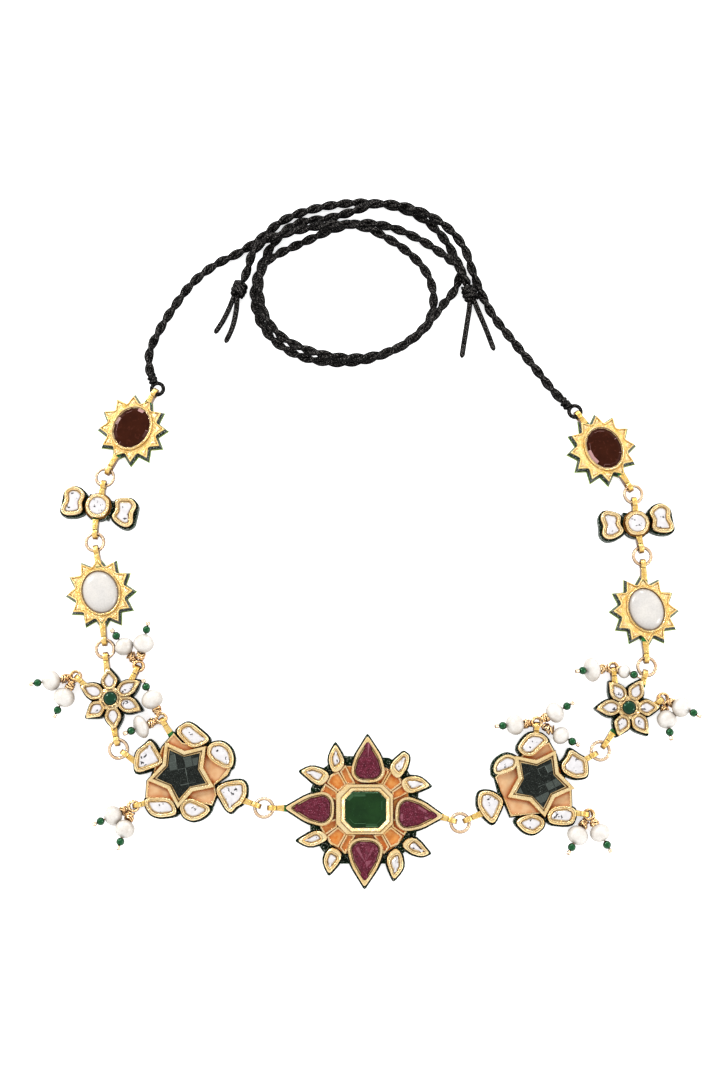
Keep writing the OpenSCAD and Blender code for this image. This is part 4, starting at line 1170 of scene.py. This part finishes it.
def edgeFacets(bm, node, glint):
    # a narrow edge of painted light round each facet of the crown
    layer = bm.faces.layers.float.new("facet")
    low, high = facets["slopes"]
    crown = [f for f in bm.faces if low < f.normal.z < high]
    edges = bmesh.ops.inset_individual(bm, faces=crown, thickness=facets["edge"] * mm, depth=0,
                                       use_even_offset=True)["faces"]
    toneFacets(bm, facets["bright"], high)
    inner = set(crown) - set(edges)
    for f in inner:
        f[layer] *= glint
    for bearing in facets["lit"].get(node, ()):
        out = Matrix.Rotation(math.radians(bearing), 3, "Z") @ Vector((facets["litReach"] * mm, 0, 0))
        spot = place((*suns[node][2][0], 0)) + out
        nearest = min(inner, key=lambda f: (f.calc_center_median() - spot).xy.length)
        for f in {nearest} | {g for e in nearest.edges for g in e.link_faces if g in edges}:
            f[layer] = 1


def cutStones(node, kind, material, slot):
    bm = bmesh.new()
    for outline, sort in stoneOutlines(node, cuts[kind]["section"]):
        c = cuts["bowRound" if sort == "ring" else kind]
        girdle = grow(coarsen(outline, c["corner"]), -c["inside"] * mm)
        face = growBands(bm, girdle, [(inward, rise, 0) for inward, rise in c["bands"]], c["foot"], 0)
        if kind in ("pear", "octagon"):
            long = [e for e in bm.edges if e.calc_length() > facets["longest"] * mm
                    and abs(e.verts[0].co.z - e.verts[1].co.z) < facets["level"] * mm]
            bmesh.ops.subdivide_edges(bm, edges=long, cuts=1)
        centre = bmesh.ops.poke(bm, faces=[face])["verts"]
        bmesh.ops.translate(bm, vec=up * c["rise"] * mm, verts=centre)
    bmesh.ops.remove_doubles(bm, verts=bm.verts, dist=weld * mm)
    bmesh.ops.recalc_face_normals(bm, faces=bm.faces)
    if "glint" in cuts[kind]:
        edgeFacets(bm, node, cuts[kind]["glint"])
    smooth = kind in ("dome", "cabochon", "cell")
    piece = finishPiece(bm, camel(node) + "Cut", [material], (node,), smooth=smooth)
    if smooth:
        soften(piece, 50)


stones = [
    ("emerald", "octagon", "emeraldStone", "emerald"),
    ("centre_kundan", "kundan", "clearStone", "clear_stone"),
    ("centre_enamel", "cell", "orangeEnamel", "orange_enamel"),
]
stones += [("ruby_" + side, "pear", "rubyStone", "ruby") for side in ("top", "bottom", "left", "right")]
for side in ("left", "right"):
    stones += [
        ("star_" + side + "_kundan", "kundan", "clearStone", "clear_stone"),
        ("star_" + side + "_enamel", "cell", "peachEnamel", "peach_enamel"),
        ("blossom_" + side + "_stone", "cabochon", "greenCabochon", "green_cabochon"),
        ("blossom_" + side + "_kundan", "leaf", "clearStone", "clear_stone"),
        ("bow_" + side + "_kundan", "kundan", "clearStone", "clear_stone"),
        ("garnet_" + side, "oval", "garnetStone", "garnet"),
        ("pearl_" + side, "dome", "shellPearl", "pearl"),
    ]
for row in stones:
    cutStones(*row)


starCut = {
    "section": 3.6, "corner": 5, "inside": -0.42, "foot": 3.0, "bands": [(0, 0.5, 0), (0.45, 0.3, 0)],
    # squares of the chequered top: their size, how many to a side, least area, edge and uneven height
    "facet": 2.3, "reach": 4, "least": 0.4, "edge": 0.12, "tilt": 0.11, "tiltEvery": 1.7,
    # light on the edges, and on the squares: how wide the patches are, where they are lit, lit and dark
    "bright": 0.5, "onTop": 0.9, "onCrown": 0.25, "patch": 0.43, "from": 0.7, "lit": 0.35, "dark": 0.02,
}


def cutStar(side, lean):
    # star-cut stone with a chequered top
    c = starCut
    node = "star_" + side + "_stone"
    bm = bmesh.new()
    layer = bm.faces.layers.float.new("facet")
    outline = coarsen(crossSection(node, c["section"])[0], c["corner"])
    top = growBands(bm, grow(outline, -c["inside"] * mm), c["bands"], c["foot"], 0)
    centre = middle([v.co for v in top.verts])

    def isTable(f):
        return abs(f.calc_center_median().z - centre.z) < facets["level"] * mm and f.normal.z > 0.9

    for turn in (lean, lean + 90):
        across = Vector((math.cos(math.radians(turn)), math.sin(math.radians(turn)), 0))
        for k in range(-c["reach"], c["reach"]):
            table = [f for f in bm.faces if isTable(f)]
            geom = (table + list({e for f in table for e in f.edges})
                    + list({v for f in table for v in f.verts}))
            bmesh.ops.bisect_plane(bm, geom=geom, plane_co=centre + across * (k + 0.5) * c["facet"] * mm,
                                   plane_no=across)
    squares = [f for f in bm.faces if isTable(f) and f.calc_area() > c["least"] * mm * mm]
    bmesh.ops.inset_individual(bm, faces=squares, thickness=c["edge"] * mm, depth=0)
    bmesh.ops.recalc_face_normals(bm, faces=bm.faces)
    toneFacets(bm, c["bright"])
    kept = set(squares)
    for f in bm.faces:
        shade = noise.cell(f.calc_center_median() / mm * c["patch"] + Vector((lean, 5, 2)))
        if f in kept:
            f[layer] = c["lit"] if shade > c["from"] else c["dark"]
        else:
            f[layer] *= c["onTop"] if isTable(f) else c["onCrown"]
    for f in squares:
        for v in f.verts:
            q = f.calc_center_median() / mm * c["tiltEvery"] + Vector((lean, 0, 0))
            v.co.z += c["tilt"] * noise.noise(q) * mm
    bmesh.ops.remove_doubles(bm, verts=bm.verts, dist=weld * mm)
    finishPiece(bm, "star" + side.capitalize() + "StoneCut", ["smokyStone"], (node,),
                smooth=False)


cutStar("left", 12)
cutStar("right", 25)
print("stones and enamel are cut")

# Link rings, and the drops that hang from wire loops

link = {
    "radius": 2.62, "wire": 0.5, "flat": 0.85, "height": 1.95, "segments": 16, "steps": 48,
    "left": [(-76.8, 18.8), (-79.1, -1.1), (-75, -33.1), (-70.2, -62.3), (-27.7, -79.1)],
    "right": [(82.1, 13.6), (84.1, -5.3), (84.2, -38.3), (69.8, -62.8), (28.8, -83.3)],
}


def wireRound(bm, radius, wire, segments, flat=1.0, low=0.0):
    # section of a wire, standing beside the Z axis
    circle = bmesh.ops.create_circle(bm, segments=segments, radius=wire * mm)["verts"]
    bmesh.ops.rotate(bm, cent=(0, 0, 0), matrix=Matrix.Rotation(math.pi / 2, 3, "X"), verts=circle)
    bmesh.ops.scale(bm, vec=(1, 1, flat), verts=circle)
    bmesh.ops.translate(bm, vec=(radius * mm, 0, low * mm), verts=circle)
    return circle + list({e for v in circle for e in v.link_edges})


def addRing(bm, where):
    # closed wire ring lying level
    own = bmesh.new()
    geom = wireRound(own, link["radius"], link["wire"], link["segments"], link["flat"])
    bmesh.ops.spin(own, geom=geom, cent=(0, 0, 0), axis=up, angle=full, steps=link["steps"], use_merge=True)
    own.transform(Matrix.Translation(where))
    joinInto(bm, own)


for side in ("left", "right"):
    bm = bmesh.new()
    for spot in link[side]:
        addRing(bm, place((*spot, link["height"])))
    bmesh.ops.recalc_face_normals(bm, faces=bm.faces)
    finishPiece(bm, "links" + side.capitalize(), ["linkGold"], ("links_" + side,))

drops = {
    # for each drop: its loop, the step that it hangs on, middle of its pearl, radius, half length, height
    "blossom_left": [
        ((-83.4, -41.1), -1, (-90.3, -42.5), 2.9, 2.3, 2.9), ((-83.4, -41.1), 1, (-86.3, -47.4), 3, 2.4, 3.1),
        ((-65, -38.1), -1, (-69.3, -32.4), 2.7, 2.2, 2.7), ((-65, -38.1), 1, (-63.5, -31.6), 2.9, 2.4, 3.8),
    ],
    "blossom_right": [
        ((74.2, -38.6), -1, (67.8, -39.4), 3.4, 1.6, 3.4), ((74.2, -38.6), 1, (77.3, -39.9), 1.9, 1.5, 3.6),
        ((88.6, -47.6), -1, (89.3, -53.8), 2.8, 2.3, 2.8), ((88.6, -47.6), 1, (93.3, -50.4), 2.8, 2.3, 4.9),
    ],
    "star_left": [
        ((-58, -53.4), -1, (-63.6, -56), 3.3, 1.6, 3.3), ((-58, -53.4), 1, (-60.6, -48), 3, 2.4, 3.2),
        ((-65.4, -78.6), -1, (-71, -81.3), 2.8, 2.2, 2.8), ((-65.4, -78.6), 1, (-67.2, -85.1), 2.7, 2.2, 4.6),
    ],
    "star_right": [
        ((51.5, -54.6), -1, (45, -55.3), 2.9, 2.2, 2.9), ((51.5, -54.6), 1, (56.8, -51.8), 2.9, 2.2, 3.3),
        ((51.5, -54.6), 0, (58.4, -58.4), 2.5, 2, 2.6), ((66, -81), -1, (62.4, -86.9), 2.9, 2.3, 2.9),
        ((66, -81), 1, (68.8, -86.1), 2.8, 2.2, 3),
    ],
}
hang = {
    # pearls against the table above, and how uneven they are
    "wider": 1.05, "longer": 1.16, "uneven": 0.02, "rounds": (28, 18),
    # the pin through a pearl, with its bead and cap
    "wire": 0.25, "level": 1.95, "step": 0.65, "bead": 1.2, "beadUneven": 0.02, "beadRounds": (20, 12),
    "gap": 0.12, "past": 0.3, "cap": 0.62, "capLong": 1.15, "capRound": 0.2, "segments": 16,
    # two coils round the loop: radius, turns and rise, what the inner one has less, and their lean
    "loop": 1.5, "loopTurns": 2.3, "loopRise": 0.8, "loopLess": 0.14, "turnsLess": 0.9,
    "lean": 0.3, "leanFrom": 0.4,
    # three coils tangled round the neck: radius, its change from coil to coil, turns, shift, rise and lean
    "neck": 1.0, "neckMore": 0.12, "neckTurns": 1.7, "neckShift": 0.22, "neckRise": 0.4, "tangle": 0.55,
    "neckLeast": 0.9, "coilWire": 0.3, "coilSegments": 8, "coilSteps": 20,
}


def addCoil(bm, radius, turns, rise, turned):
    # wire wound round the Z axis, closed at both ends, then put in its place
    own = bmesh.new()
    geom = wireRound(own, radius, hang["coilWire"], hang["coilSegments"], low=-rise / 2)
    steps = round(turns * hang["coilSteps"])
    bmesh.ops.spin(own, geom=geom, cent=(0, 0, 0), axis=up, angle=full * turns, steps=steps,
                   dvec=(0, 0, rise * mm / steps))
    bmesh.ops.holes_fill(own, edges=[e for e in own.edges if e.is_boundary], sides=0)
    own.transform(turned)
    joinInto(bm, own)


def addBall(bm, radii, turned, uneven, seed, rounds):
    own = bmesh.new()
    bmesh.ops.create_uvsphere(own, u_segments=rounds[0], v_segments=rounds[1], radius=1)
    for v in own.verts:
        v.co *= 1 + uneven * 2 * noise.noise(v.co * 1.3 + Vector((seed, 0, 0)))
    bmesh.ops.scale(own, vec=[r * mm for r in radii], verts=own.verts)
    own.transform(turned)
    joinInto(bm, own)


def addPeg(bm, radius, start, end, turned, rounded=0.0):
    own = bmesh.new()
    long = (end - start) * mm
    bmesh.ops.create_cone(own, cap_ends=True, segments=hang["segments"], radius1=radius * mm,
                          radius2=radius * mm, depth=long,
                          matrix=Matrix.Translation((0, 0, start * mm + long / 2)))
    if rounded:
        bevelSharp(own, rounded, 3)
    own.transform(turned)
    joinInto(bm, own)


def leaning(angle, bearing):
    return Matrix.Rotation(angle, 4, (math.cos(bearing), math.sin(bearing), 0))


def addCoils(bm, i, eye, turned, reach, half):
    # the wire of one drop: loosely round its loop, and tangled round its neck, each one another way
    h = hang
    for k in range(2):
        spot = Matrix.Translation(eye) @ leaning(h["lean"] * (h["leanFrom"] + k), i * 2.1 + k * 1.3)
        addCoil(bm, h["loop"] * (1 - h["loopLess"] * k), h["loopTurns"] - k * h["turnsLess"], h["loopRise"],
                spot @ Matrix.Rotation(i * 1.7 + k, 4, "Z"))
    bare = max(reach - half * 0.9, h["neckLeast"])
    neck = turned @ Matrix.Translation((0, 0, (-reach + bare / 2) * mm))
    for k in range(3):
        aside = i * 1.9 + k * 2.1
        shift = Matrix.Translation((0, 0, (k - 1) * bare * h["neckShift"] * mm))
        spot = neck @ shift @ leaning(h["tangle"], aside)
        addCoil(bm, h["neck"] * (1 + h["neckMore"] * (k - 1)), h["neckTurns"], bare * h["neckRise"],
                spot @ Matrix.Rotation(aside, 4, "Z"))


def makeDrops(name, hanging):
    wires, caps, pearls, beads = bmesh.new(), bmesh.new(), bmesh.new(), bmesh.new()
    for i, (loop, step, pearl, radius, half, height) in enumerate(hanging):
        eye = place((*loop, hang["level"] + hang["step"] * step))
        radius, half = radius * hang["wider"], half * hang["longer"]
        heart = place((*pearl, max(height, radius)))
        start = eye + levelled(heart - eye) * hang["loop"] * mm
        pin = heart - start
        turned = Matrix.Translation(heart) @ pin.to_track_quat("Z", "Y").to_matrix().to_4x4()
        reach = pin.length / mm
        addCoils(wires, i, eye, turned, reach, half)
        end = half + 2 * hang["bead"] + 2 * hang["gap"]
        addPeg(wires, hang["wire"], -reach, end + hang["past"], turned)
        addPeg(caps, hang["cap"], end, end + hang["capLong"], turned, hang["capRound"])
        addBall(pearls, (radius, radius, half), turned, hang["uneven"], i * 3.7, hang["rounds"])
        bead = turned @ Matrix.Translation((0, 0, (half + hang["gap"] + hang["bead"]) * mm))
        addBall(beads, (hang["bead"],) * 3, bead, hang["beadUneven"], i, hang["beadRounds"])
    for f in caps.faces:
        f.material_index = 1
    joinInto(wires, caps)
    for bm, what, looks, slot in ((wires, "wires", ["wireGold", "capGold"], "gold"),
                                  (pearls, "pearls", ["dropPearl"], "pearl"),
                                  (beads, "beads", ["greenGlass"], "green_bead")):
        bmesh.ops.recalc_face_normals(bm, faces=bm.faces)
        node = name + "_" + what
        finishPiece(bm, camel(node) + "Drop", looks, (node,))


for name, hanging in drops.items():
    makeDrops(name, hanging)
print("rings and drops are made")
